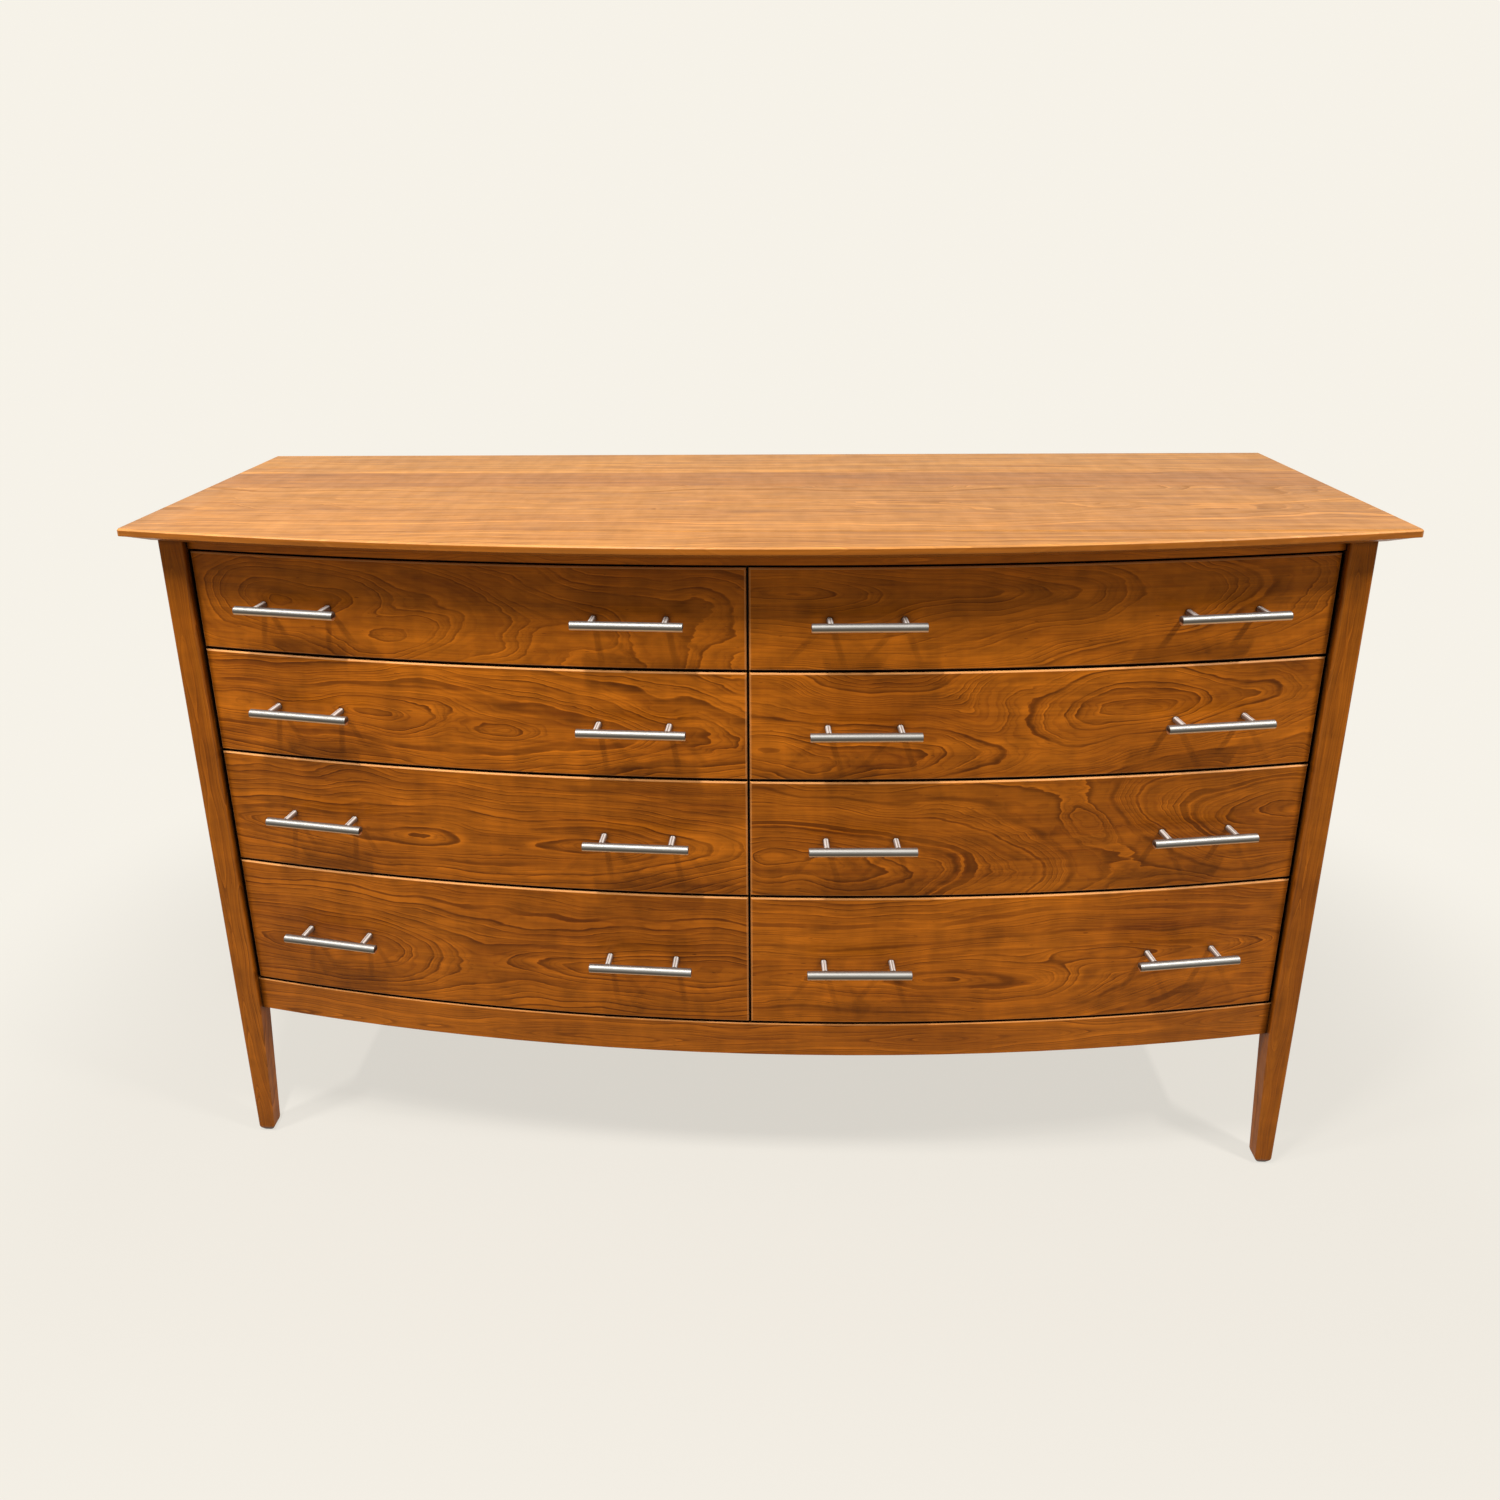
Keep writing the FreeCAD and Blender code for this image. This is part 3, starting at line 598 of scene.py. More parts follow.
# Boards other than the fronts: their two hearts along and across them, how the rings stretch along
# them, how deep the hearts lie, how the rings wander, how wide they are where not as usual, in metres,
# the seed of the first board of the kind and the step to the next
BOARDS = {
    "top": {"first": (-0.5, -0.06), "second": (0.6, 0.08), "stretch": 0.06, "depth": 0.05,
            "wander": 0.05, "seed": 41.0},
    "leg": {"first": (-0.3, 0.09), "second": (0.35, -0.10), "stretch": 0.04, "depth": 0.05,
            "wander": 0.04, "ring": 0.0050, "seed": 60.0, "step": 2.3},
    "rail": {"first": (-0.6, 0.09), "second": (0.5, -0.1), "stretch": 0.05, "depth": 0.03,
             "wander": 0.05, "ring": 0.0055, "seed": 80.0, "step": 3.1},
    "side": {"first": (-0.2, 0.02), "second": (0.3, -0.12), "stretch": 0.12, "depth": 0.03,
             "wander": 0.06, "seed": 100.0, "step": 4.1},
    "bottom": {"first": (-0.3, 0.05), "second": (0.4, -0.1), "stretch": 0.1, "depth": 0.03, "seed": 120.0},
    "back": {"first": (-0.3, 0.05), "second": (0.4, -0.1), "stretch": 0.12, "depth": 0.03,
             "ring": 0.012, "seed": 125.0},
    "packer": {"first": (0.5, 0.1), "second": (-0.5, 0.1), "stretch": 0.1, "seed": 130.0},
    "box": {"first": (-0.1, 0.05), "second": (0.2, -0.08), "stretch": 0.1, "depth": 0.04,
            "wander": 0.05, "seed": 150.0, "step": 7.0},
    "floor": {"first": (0.1, 0.1), "second": (-0.2, -0.1), "stretch": 0.15, "depth": 0.04,
              "ring": 0.013, "seed": 153.0, "step": 7.0},
}


def board_figure(kind, number=0):
    """Rings of one board of a kind."""
    values = dict(BOARDS[kind])
    seed = values.pop("seed") + values.pop("step", 0.0) * number
    return figure(seed=seed, **values)


# Metals

# Patches of wear in grains to the metre, and how the brush lines and the patches show
PATCHES = (30.0, 60.0, 60.0)
BRUSH_LIGHT = 0.30
BRUSH_DULL = 0.30
PATCH_DULL = 0.10
BRUSH_BUMP = 0.25
BRUSH_DEPTH = 0.00005


def brushed(tree, shader, place, colour, rough, grains, wear):
    """Fine brush lines and a little wear on a metal shader."""
    brush = noise(tree, place, grains, detail=3.0, roughness=0.65)
    patches = noise(tree, place, PATCHES, detail=3.0)
    light = summed(tree, 1.0, (brush, BRUSH_LIGHT), (patches, wear))
    tree.links.new(brighter(tree, colour, light), shader.inputs["Base Color"])
    dull = summed(tree, rough, (brush, BRUSH_DULL), (patches, PATCH_DULL))
    tree.links.new(dull, shader.inputs["Roughness"])
    bump = add(tree, "ShaderNodeBump", {"Height": brush, "Strength": BRUSH_BUMP, "Distance": BRUSH_DEPTH})
    tree.links.new(bump.outputs["Normal"], shader.inputs["Normal"])
    shader.inputs["Metallic"].default_value = 1.0


ZINC_ROUGHNESS = 0.38
ZINC_BRUSH = (300.0, 14.0, 300.0)
ZINC_WEAR = 0.25


def zinc_steel():
    """Plated steel of slides, clips and screws."""
    material, tree, shader = new_material("zinc_steel")
    place = add(tree, "ShaderNodeTexCoord").outputs["Object"]
    colour = tuple(bpy.context.scene.dresser_screws.zinc_colour)
    brushed(tree, shader, place, colour, ZINC_ROUGHNESS, ZINC_BRUSH, ZINC_WEAR)
    return material


PULL_ROUGHNESS = 0.5
PULL_BRUSH = (18.0, 1500.0, 1500.0)
PULL_WEAR = 0.10

# Bars: painted shade under the bright crown, a painted reflection of the wood along the lower side,
# painted shade behind, and where each starts and ends in shares of the bar's radius
BAR_PAINTED_SHADE = (0.10, 0.085, 0.07, 1.0)
BAR_PAINTED_REFLECTION = (0.80, 0.52, 0.29, 1.0)
BAR_BACK_PAINTED_SHADE = (0.20, 0.17, 0.14, 1.0)
BAR_CROWN_RISE = (0.0, 0.85)
BAR_LOWER_FADE = (-0.6, -0.2)
BAR_BACK_RISE = (0.35, 0.7)

# Posts: their colours from below to the top, painted shade, a painted highlight and painted shade again,
# where each starts, and how they differ from the bars
POST_PAINTED_SHADE = (0.22, 0.15, 0.11, 1.0)
POST_PAINTED_HIGHLIGHT = (0.90, 0.91, 0.91, 1.0)
POST_TOP_PAINTED_SHADE = (0.33, 0.28, 0.24, 1.0)
POST_BRIGHT_RISE = (0.35, 0.66)
POST_TOP_RISE = (0.66, 0.69)
POST_STREAKS = (600.0, 1.0, 1.0)
POST_STREAKED = 0.8
POST_ROUGHER = 0.04
POST_METALLIC = 0.5


def brushed_nickel(radius):
    """Pull metal: painted shade and reflections below a bright crown, painted highlight and streaks on posts.
    """
    def part(value, shares, first=0.0, last=1.0):
        """Eased step between two shares of the radius."""
        return ranged(tree, value, shares[0] * radius, shares[1] * radius, first, last)

    material, tree, shader = new_material("brushed_nickel")
    place = attribute(tree, "grain", "Vector")
    across, back, height = parted(tree, place)
    post = maths(tree, "GREATER_THAN", back, radius)
    unshaded_metal = opaque(bpy.context.scene.dresser_pulls.metal_colour)
    bar = blended(tree, part(height, BAR_CROWN_RISE), BAR_PAINTED_SHADE, unshaded_metal)
    bar = blended(tree, part(height, BAR_LOWER_FADE, 1.0, 0.0), bar, BAR_PAINTED_REFLECTION)
    bar = blended(tree, part(back, BAR_BACK_RISE), bar, BAR_BACK_PAINTED_SHADE)
    # Painted light and dark streaks along the posts move where their painted highlight starts
    streaks = noise(tree, joined(tree, across), POST_STREAKS, detail=1.0)
    crown = maths(tree, "MULTIPLY_ADD", streaks, POST_STREAKED * radius, height)
    posts = blended(tree, part(crown, POST_BRIGHT_RISE), POST_PAINTED_SHADE, POST_PAINTED_HIGHLIGHT)
    posts = blended(tree, part(height, POST_TOP_RISE), posts, POST_TOP_PAINTED_SHADE)
    rough = maths(tree, "MULTIPLY_ADD", post, POST_ROUGHER, PULL_ROUGHNESS)
    brushed(tree, shader, place, blended(tree, post, bar, posts), rough, PULL_BRUSH, PULL_WEAR)
    metallic = maths(tree, "MULTIPLY_ADD", post, POST_METALLIC - 1.0, 1.0)
    tree.links.new(metallic, shader.inputs["Metallic"])
    return material


# Boards

class Bow:
    """Circle of the drawer faces: its radius and how far behind the origin its centre lies."""

    def __init__(self):
        """Fits the circle to the outer faces of the first row's fronts."""
        places = []
        for column in COLUMNS:
            mesh = frame["nodes"][f"drawer_{column}_1_front"].data
            for face in mesh.polygons:
                if face.normal.y < FACES_FRONT:
                    places += [mesh.vertices[corner].co.xy for corner in face.vertices]
        count = len(places)
        sum_y = sum(p.y for p in places)
        sum_yy = sum(p.y * p.y for p in places)
        sum_s = sum(p.length_squared for p in places)
        sum_ys = sum(p.y * p.length_squared for p in places)
        slope = (count * sum_ys - sum_y * sum_s) / (count * sum_yy - sum_y * sum_y)
        self.centre = slope / 2
        self.radius = math.sqrt((sum_s - slope * sum_y) / count + self.centre ** 2)

    def unroll(self, point):
        """Place along the arc, up, and in from the face."""
        angle = math.atan2(point.x, self.centre - point.y)
        reach = math.hypot(point.x, self.centre - point.y)
        return Vector((self.radius * angle, point.z, self.radius - reach))


bow = Bow()


def box_middle(points):
    """Middle of the box round some points."""
    low = [min(p[axis] for p in points) for axis in range(3)]
    high = [max(p[axis] for p in points) for axis in range(3)]
    return (Vector(low) + Vector(high)) / 2


def centred(points):
    """Places moved so that the middle of their box is at zero."""
    middle = box_middle(points)
    return [p - middle for p in points]


def straight_grain(points):
    """Grain along a board's longest side, then across its width, then through it."""
    places = centred(points)
    extents = [max(p[axis] for p in places) for axis in range(3)]
    order = sorted(range(3), key=lambda axis: -extents[axis])
    along = Vector([float(axis == order[0]) for axis in range(3)])
    return [Vector([p[axis] for axis in order]) for p in places], along


def bowed_grain(points):
    """Grain along the bow, then up, then in from the face."""
    return centred([bow.unroll(p) for p in points]), Vector((1, 0, 0))


def level_grain(points):
    """Grain from side to side of a level board."""
    return centred(points), Vector((1, 0, 0))


def upright_grain(points):
    """Grain from the floor up."""
    return [Vector((p.z, p.x, p.y)) for p in centred(points)], UP


def side_grain(points):
    """Grain from the floor up, in a panel that faces sideways."""
    return [Vector((p.z, p.y, p.x)) for p in centred(points)], UP


def loose_pieces(mesh):
    """Vertex numbers of each loose piece of a mesh."""
    leader = list(range(len(mesh.vertices)))

    def find(index):
        while leader[index] != index:
            leader[index] = leader[leader[index]]
            index = leader[index]
        return index

    for edge in mesh.edges:
        leader[find(edge.vertices[0])] = find(edge.vertices[1])
    groups = {}
    for index in range(len(mesh.vertices)):
        groups.setdefault(find(index), []).append(index)
    return list(groups.values())


def closed_solids(mesh):
    """Triangles of each solid of a CAD piece: they follow one another, and close when it is whole."""
    keys = [tuple(round(number / WELD) for number in vertex.co) for vertex in mesh.vertices]
    solids, members = [], []
    crossings = Counter()
    for face in mesh.polygons:
        members.append([mesh.vertices[index].co for index in face.vertices])
        corners = [keys[index] for index in face.vertices]
        for start, end in zip(corners, corners[1:] + corners[:1]):
            crossings[start, end] += 1
            crossings[end, start] -= 1
        if not any(crossings.values()):
            solids.append(members)
            members = []
            crossings.clear()
    if members:
        solids.append(members)
    return solids


def whole_faces(node):
    """Copy of a CAD piece in which the loose triangles of each solid are joined into whole faces."""
    work = bmesh.new()
    for solid in closed_solids(frame["nodes"][node].data):
        part = bmesh.new()
        for corners in solid:
            part.faces.new([part.verts.new(place) for place in corners])
        bmesh.ops.remove_doubles(part, verts=part.verts, dist=WELD)
        bmesh.ops.dissolve_limit(part, angle_limit=FLAT, verts=part.verts, edges=part.edges)
        mesh = bpy.data.meshes.new("solid")
        part.to_mesh(mesh)
        part.free()
        work.from_mesh(mesh)
        bpy.data.meshes.remove(mesh)
    return work


def points_of_pieces(node):
    """Corner points of each loose piece of a CAD node."""
    work = whole_faces(node)
    mesh = bpy.data.meshes.new("pieces")
    work.to_mesh(mesh)
    work.free()
    pieces = [[mesh.vertices[index].co.copy() for index in members] for members in loose_pieces(mesh)]
    bpy.data.meshes.remove(mesh)
    return pieces


def tilt(face):
    """1 for an arris that looks up, -1 for one that looks down, and between them for an upright one."""
    if abs(face.normal.z) < SLOPED:
        return UPRIGHT_HIGHLIGHT
    return math.copysign(1, face.normal.z)


def ease(work, width, steps):
    """Round the long outer corners of a board, and mark them and the narrow chamfers as arrises."""
    layer = work.faces.layers.float.new("arris")
    for face in work.faces:
        longest = max(edge.calc_length() for edge in face.edges)
        if face.calc_area() < NARROW * longest:
            face[layer] = tilt(face)
    corners = [edge for edge in work.edges
               if len(edge.link_faces) == 2 and edge.is_convex and edge.calc_face_angle() > CORNER
               and edge.calc_length() > SHORTEST_ARRIS]
    made = bmesh.ops.bevel(work, geom=corners, offset=width, offset_type="OFFSET", segments=steps,
                           profile=0.5, affect="EDGES", clamp_overlap=False)
    for face in made["faces"]:
        face[layer] = tilt(face)


def bevelled(work, edges, width):
    """Round some edges of a board."""
    bmesh.ops.bevel(work, geom=edges, offset=width, offset_type="OFFSET", segments=ROUND_STEPS,
                    profile=0.5, affect="EDGES", clamp_overlap=False)


def round_leg(work):
    """Round the four eased arrises of a leg, and the foot where its bevel starts."""
    levels = sorted({round(vertex.co.z, 5) for vertex in work.verts})
    bevelled(work, [edge for edge in work.edges
                    if all(abs(vertex.co.z - levels[1]) < WELD for vertex in edge.verts)], FOOT_ROUND)
    strips = [face for face in work.faces if abs(face.normal.x * face.normal.y) > FACES_CORNER]
    bevelled(work, [edge for edge in work.edges
                    if edge.is_convex and edge.calc_face_angle() > CORNER
                    and any(face in strips for face in edge.link_faces)], LEG_ROUND)


def dressed(name, mesh, node):
    """New piece of the scene that rides with a CAD node's body."""
    piece = bpy.data.objects.new(name, mesh)
    bpy.context.scene.collection.objects.link(piece)
    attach(piece, frame["nodes"][node]["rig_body"])
    return piece


def board_from(node, lay, material, eased=True, leg=False):
    """Eased copy of a CAD board with grain coordinates, in place of its node."""
    settings = bpy.context.scene.dresser_wood
    work = whole_faces(node)
    if leg:
        round_leg(work)
    if eased:
        ease(work, settings.arris, settings.arris_steps)
    mesh = bpy.data.meshes.new("wood_" + node)
    work.to_mesh(mesh)
    work.free()
    grain = mesh.attributes.new("grain", "FLOAT_VECTOR", "POINT")
    along = {}
    for members in loose_pieces(mesh):
        places, direction = lay([mesh.vertices[index].co for index in members])
        for index, place in zip(members, places):
            grain.data[index].vector = place
            along[index] = direction
    ends = mesh.attributes.new("end_grain", "FLOAT", "FACE")
    edges = mesh.attributes.new("edge", "FLOAT", "FACE")
    for face in mesh.polygons:
        ends.data[face.index].value = float(abs(face.normal.dot(along[face.vertices[0]])) > END_GRAIN)
        # Faces that do not look up, which the top shows without its painted light
        edges.data[face.index].value = float(face.normal.z < SLOPED)
    mesh.shade_smooth()
    mesh.set_sharp_from_angle(angle=SMOOTH)
    mesh.materials.append(material)
    piece = dressed("wood_" + node, mesh, node)
    keep = piece.modifiers.new("Flat faces", "WEIGHTED_NORMAL")
    keep.keep_sharp = True
    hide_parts(node)


def half_size(node):
    """Half of a node's length along X and of its height."""
    low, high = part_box(node)
    return (high.x - low.x) / 2, (high.z - low.z) / 2


def seam_places(node, shares):
    """Glue seams of a board, at shares of its depth from the front, measured from its middle."""
    low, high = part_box(node)
    return [(share - 0.5) * (high.y - low.y) for share in shares]


# Board of each drawer front: the hearts of its figure as shares of half its length and height, how
# much later the second heart grew, the ring and the wander, in metres, the lean, the tone and the
# boldness of its figure
FRONT_BOARDS = {
    ("left", 1): ((-0.66, 0.15), (-0.30, -0.50), 0.004, 0.0098, 0.085, 0.9, 0.97, 0.78),
    ("left", 2): ((-0.26, 0.00), (0.52, -0.20), 0.010, 0.0083, 0.080, -0.7, 1.12, 1.28),
    ("left", 3): ((-0.30, -0.20), (0.50, -0.20), 0.010, 0.0076, 0.065, -0.8, 0.98, 1.25),
    ("left", 4): ((-0.62, -0.25), (0.60, -0.20), 0.022, 0.0083, 0.060, -0.5, 0.97, 1.12),
    ("right", 1): ((-0.82, 0.50), (-0.15, 0.55), 0.014, 0.0078, 0.060, -0.6, 0.97, 0.78),
    ("right", 2): ((-0.97, -0.40), (0.36, 0.25), 0.010, 0.0087, 0.085, 0.3, 1.02, 1.15),
    ("right", 3): ((-0.93, -0.30), (1.04, 0.30), 0.012, 0.0083, 0.080, 0.4, 0.91, 1.05),
    ("right", 4): ((-0.26, -0.30), (0.70, 0.05), 0.018, 0.0076, 0.055, -0.7, 1.06, 1.12),
}
FRONT_SEED = 3.0
FRONT_SEED_STEP = 1.7


class DRESSER_OT_fronts(bpy.types.Operator):
    """Finish the eight curved drawer fronts, each cut from its own board"""
    bl_idname = "dresser.fronts"
    bl_label = "Drawer fronts"

    def execute(self, context):
        """Copy, ease and finish each front."""
        colour = context.scene.dresser_wood.front_colour
        for number, ((column, row), board) in enumerate(FRONT_BOARDS.items()):
            node = f"drawer_{column}_{row}_front"
            half_length, half_height = half_size(node)
            first, second = [(along * half_length, across * half_height) for along, across in board[:2]]
            later, ring, wander, lean, tone, bold = board[2:]
            rings = figure(first, second, later, ring=ring, wander=wander, lean=lean,
                           seed=FRONT_SEED + FRONT_SEED_STEP * number)
            material = wood(f"cherry_front_{column}_{row}", rings, colour, "front", tone=tone, bold=bold)
            board_from(node, bowed_grain, material)
        return {"FINISHED"}


# Seams between the glued boards of the top, as shares of its depth from the front, and the boards'
# tones; then the strips beside the seams: share of the depth, half the width, and how much brighter
TOP_SEAM_SHARES = (0.328, 0.578, 0.743)
TOP_TONES = ((0.96, 0.97, 1.0), (0.99, 1.0, 0.97), (0.88, 0.83, 0.75), (1.13, 1.17, 1.12))
TOP_STRIPS = ((0.328, 0.006, -0.13), (0.568, 0.010, 0.07), (0.758, 0.014, 0.20))


class DRESSER_OT_top(bpy.types.Operator):
    """Finish the bowed top board, glued up from four boards"""
    bl_idname = "dresser.top"
    bl_label = "Top board"

    def execute(self, context):
        """Copy, ease and finish the top."""
        seams = seam_places("top_board", TOP_SEAM_SHARES)
        settings = context.scene.dresser_wood
        lines = seam_places("top_board", [share for share, _, _ in TOP_STRIPS])
        strips = [(line, half, change) for line, (_, half, change) in zip(lines, TOP_STRIPS)]
        # The top face carries painted light from above, and its other faces the frame's darker colour
        material = wood("cherry_top", board_figure("top"), settings.top_colour, "top", tones=TOP_TONES,
                        seams=seams, strips=strips, edge=tuple(settings.frame_colour))
        board_from("top_board", level_grain, material)
        return {"FINISHED"}


# Brightness of the legs, and how each rail's grain lies and how bright it is
LEG_TONE = 0.9
# The top front rail's extra brightness is painted light that lifts the shade under the top's overhang
RAILS = {"top_front_rail": (bowed_grain, 1.32), "bottom_front_rail": (bowed_grain, 1.09),
         "top_rear_rail": (straight_grain, 1.0), "bottom_rear_rail": (straight_grain, 1.0)}

# Glued boards of the sides and of the case's floor
SIDE_SEAM_SHARES = (0.34, 0.68)
SIDE_TONES = ((1.0, 1.0, 1.0), (0.93, 0.93, 0.93), (1.03, 1.03, 1.03))
FLOOR_SEAM_SHARES = (0.3, 0.65)


class DRESSER_OT_frame(bpy.types.Operator):
    """Finish the four legs and the four rails"""
    bl_idname = "dresser.frame"
    bl_label = "Legs and rails"

    def execute(self, context):
        """Copy, ease and finish each leg and rail."""
        colour = context.scene.dresser_wood.frame_colour
        for number, place in enumerate(("front_left", "front_right", "rear_left", "rear_right")):
            material = wood(f"cherry_{place}_leg", board_figure("leg", number), colour, "leg",
                            tone=LEG_TONE)
            board_from(f"{place}_leg", upright_grain, material, leg=True)
        for number, (node, (lay, tone)) in enumerate(RAILS.items()):
            material = wood(f"cherry_{node}", board_figure("rail", number), colour, "frame", tone=tone)
            board_from(node, lay, material)
        return {"FINISHED"}


class DRESSER_OT_panels(bpy.types.Operator):
    """Finish the sides, the partition, the bottom, the back and the packers"""
    bl_idname = "dresser.panels"
    bl_label = "Panels"

    def execute(self, context):
        """Copy, ease and finish each panel."""
        settings = context.scene.dresser_wood
        for number, node in enumerate(("left_side_panel", "right_side_panel", "centre_partition")):
            material = wood(f"cherry_{node}", board_figure("side", number), settings.frame_colour,
                            "frame", tones=SIDE_TONES, seams=seam_places(node, SIDE_SEAM_SHARES))
            board_from(node, side_grain, material)
        material = wood("cherry_bottom_board", board_figure("bottom"), settings.panel_colour, "panel",
                        tones=SIDE_TONES, seams=seam_places("bottom_board", FLOOR_SEAM_SHARES))
        board_from("bottom_board", level_grain, material)
        material = wood("cherry_back_panel", board_figure("back"), settings.panel_colour, "panel")
        board_from("back_panel", straight_grain, material)
        material = wood("maple_packers", board_figure("packer"), settings.maple_colour, "maple")
        board_from("slide_packers", straight_grain, material)
        return {"FINISHED"}


class DRESSER_OT_boxes(bpy.types.Operator):
    """Finish the dovetailed boxes and the floors of the drawers"""
    bl_idname = "dresser.boxes"
    bl_label = "Drawer boxes"

    def execute(self, context):
        """Copy, ease and finish the boards of each box."""
        colour = context.scene.dresser_wood.maple_colour
        for number, (column, row) in enumerate(DRAWERS):
            name = f"drawer_{column}_{row}"
            material = wood(f"maple_box_{number}", board_figure("box", number), colour, "maple")
            board_from(f"{name}_box", straight_grain, material)
            material = wood(f"maple_floor_{number}", board_figure("floor", number), colour, "maple")
            board_from(f"{name}_floor", level_grain, material, eased=False)
        return {"FINISHED"}


# Repeated pieces, made on points by geometry nodes

def repeating_tree(name, inputs):
    """Geometry tree with named inputs, and those inputs."""
    tree = bpy.data.node_groups.new(name, "GeometryNodeTree")
    tree.interface.new_socket(name="Geometry", in_out="INPUT", socket_type="NodeSocketGeometry")
    for label, kind in (*inputs, ("Metal", "Material")):
        tree.interface.new_socket(name=label, in_out="INPUT", socket_type="NodeSocket" + kind)
    tree.interface.new_socket(name="Geometry", in_out="OUTPUT", socket_type="NodeSocketGeometry")
    return tree, tree.nodes.new("NodeGroupInput").outputs


def moved(tree, geometry, translation=(0, 0, 0), rotation=(0, 0, 0)):
    """Geometry turned and moved."""
    inputs = {"Geometry": geometry, "Translation": translation, "Rotation": rotation}
    return add(tree, "GeometryNodeTransform", inputs).outputs[0]


def together(tree, parts):
    """Several geometries as one."""
    union = add(tree, "GeometryNodeJoinGeometry")
    for part in reversed(parts):
        tree.links.new(part, union.inputs[0])
    return union.outputs[0]


def repeat_on_points(tree, given, piece):
    """Stand the piece on every point with that point's own turn, and give it the metal."""
    turn = add(tree, "GeometryNodeInputNamedAttribute", {"Name": "turn"}, data_type="FLOAT_VECTOR").outputs[0]
    stand = add(tree, "GeometryNodeInstanceOnPoints",
                {"Points": given["Geometry"], "Instance": piece, "Rotation": turn})
    real = add(tree, "GeometryNodeRealizeInstances", {"Geometry": stand.outputs[0]})
    finish = add(tree, "GeometryNodeSetMaterial", {"Geometry": real.outputs[0], "Material": given["Metal"]})
    add(tree, "NodeGroupOutput", {"Geometry": finish.outputs[0]})


def on_points(name, places, turns, tree, values):
    """Plain mesh that a geometry tree makes on points, each with its own turn."""
    seeds = bpy.data.meshes.new(name + "_points")
    seeds.from_pydata([tuple(place) for place in places], [], [])
    turned = seeds.attributes.new("turn", "FLOAT_VECTOR", "POINT")
    for index, turn in enumerate(turns):
        turned.data[index].vector = turn
    maker = bpy.data.objects.new(name + "_maker", seeds)
    bpy.context.scene.collection.objects.link(maker)
    modifier = maker.modifiers.new("Repeat", "NODES")
    modifier.node_group = tree
    for item in tree.interface.items_tree:
        if item.in_out == "INPUT" and item.name in values:
            modifier[item.identifier] = values[item.name]
    evaluated = maker.evaluated_get(bpy.context.evaluated_depsgraph_get())
    mesh = bpy.data.meshes.new_from_object(evaluated)
    mesh.name = name
    bpy.data.objects.remove(maker)
    bpy.data.meshes.remove(seeds)
    if not mesh.polygons:
        raise RuntimeError(f"{name} came out empty")
    return mesh


# Pulls

class Rod:
    """A level round piece found in the frame: its middle, its direction, its length and its radius."""

    def __init__(self, points):
        """Measures the rod from its rim points."""
        rough = sum(points, Vector()) / len(points)
        far = max(points, key=lambda p: (p - rough).length)
        ends = ([], [])
        for point in points:
            ends[(point - rough).dot(far - rough) > 0].append(point)
        first, second = [sum(group, Vector()) / len(group) for group in ends]
        self.along = (second - first).normalized()
        if self.along.x < 0:
            self.along.negate()
        across = Vector((-self.along.y, self.along.x, 0))
        spans = []
        for direction in (self.along, across, UP):
            reach = [p.dot(direction) for p in points]
            spans.append((direction, min(reach), max(reach)))
        self.middle = sum((direction * (low + high) / 2 for direction, low, high in spans), Vector())
        self.length = spans[0][2] - spans[0][1]
        self.radius = (spans[2][2] - spans[2][1]) / 2


class Pull:
    """One bar pull found in the frame: its bar, its two posts and the way in to the front."""

    def __init__(self, bar, posts):
        """Sorts out the posts that stand behind the bar."""
        self.bar = bar
        self.posts = [post for post in posts if (post.middle - bar.middle).length < bar.length]
        self.inward = Vector((-bar.along.y, bar.along.x, 0))
        self.turn = math.atan2(bar.along.y, bar.along.x)


def pulls_of(column, row):
    """The pulls of one drawer."""
    rods = [Rod(points) for points in points_of_pieces(f"drawer_{column}_{row}_pulls")]
    rods.sort(key=lambda rod: -rod.length)
    pulls = [Pull(bar, rods[2:]) for bar in rods[:2]]
    if any(len(pull.posts) != 2 for pull in pulls):
        raise RuntimeError(f"drawer {column} {row} does not have two bars on two posts each")
    return pulls


def pull_tree():
    """Bar pull: a bar and its two posts, the posts on the side of the front."""
    tree, given = repeating_tree("bar_pulls", (
        ("Bar length", "Float"), ("Bar radius", "Float"), ("Bar sides", "Int"), ("Post spacing", "Float"),
        ("Post radius", "Float"), ("Post length", "Float"), ("Post sides", "Int")))
    quarter = math.pi / 2
    bar = add(tree, "GeometryNodeMeshCylinder",
              {"Vertices": given["Bar sides"], "Radius": given["Bar radius"],
               "Depth": given["Bar length"]}).outputs["Mesh"]
    post = add(tree, "GeometryNodeMeshCylinder",
               {"Vertices": given["Post sides"], "Radius": given["Post radius"],
                "Depth": given["Post length"]}).outputs["Mesh"]
    parts = [moved(tree, bar, rotation=(0, quarter, 0))]
    back = maths(tree, "MULTIPLY", given["Post length"], 0.5)
    for side in (-0.5, 0.5):
        place = joined(tree, maths(tree, "MULTIPLY", given["Post spacing"], side), back)
        parts.append(moved(tree, post, place, (quarter, 0, 0)))
    position = add(tree, "GeometryNodeInputPosition").outputs[0]
    pull = add(tree, "GeometryNodeStoreNamedAttribute",
               {"Geometry": together(tree, parts), "Name": "grain", "Value": position},
               data_type="FLOAT_VECTOR", domain="POINT")
    repeat_on_points(tree, given, pull.outputs[0])
    return tree


RIM_STEPS = 3


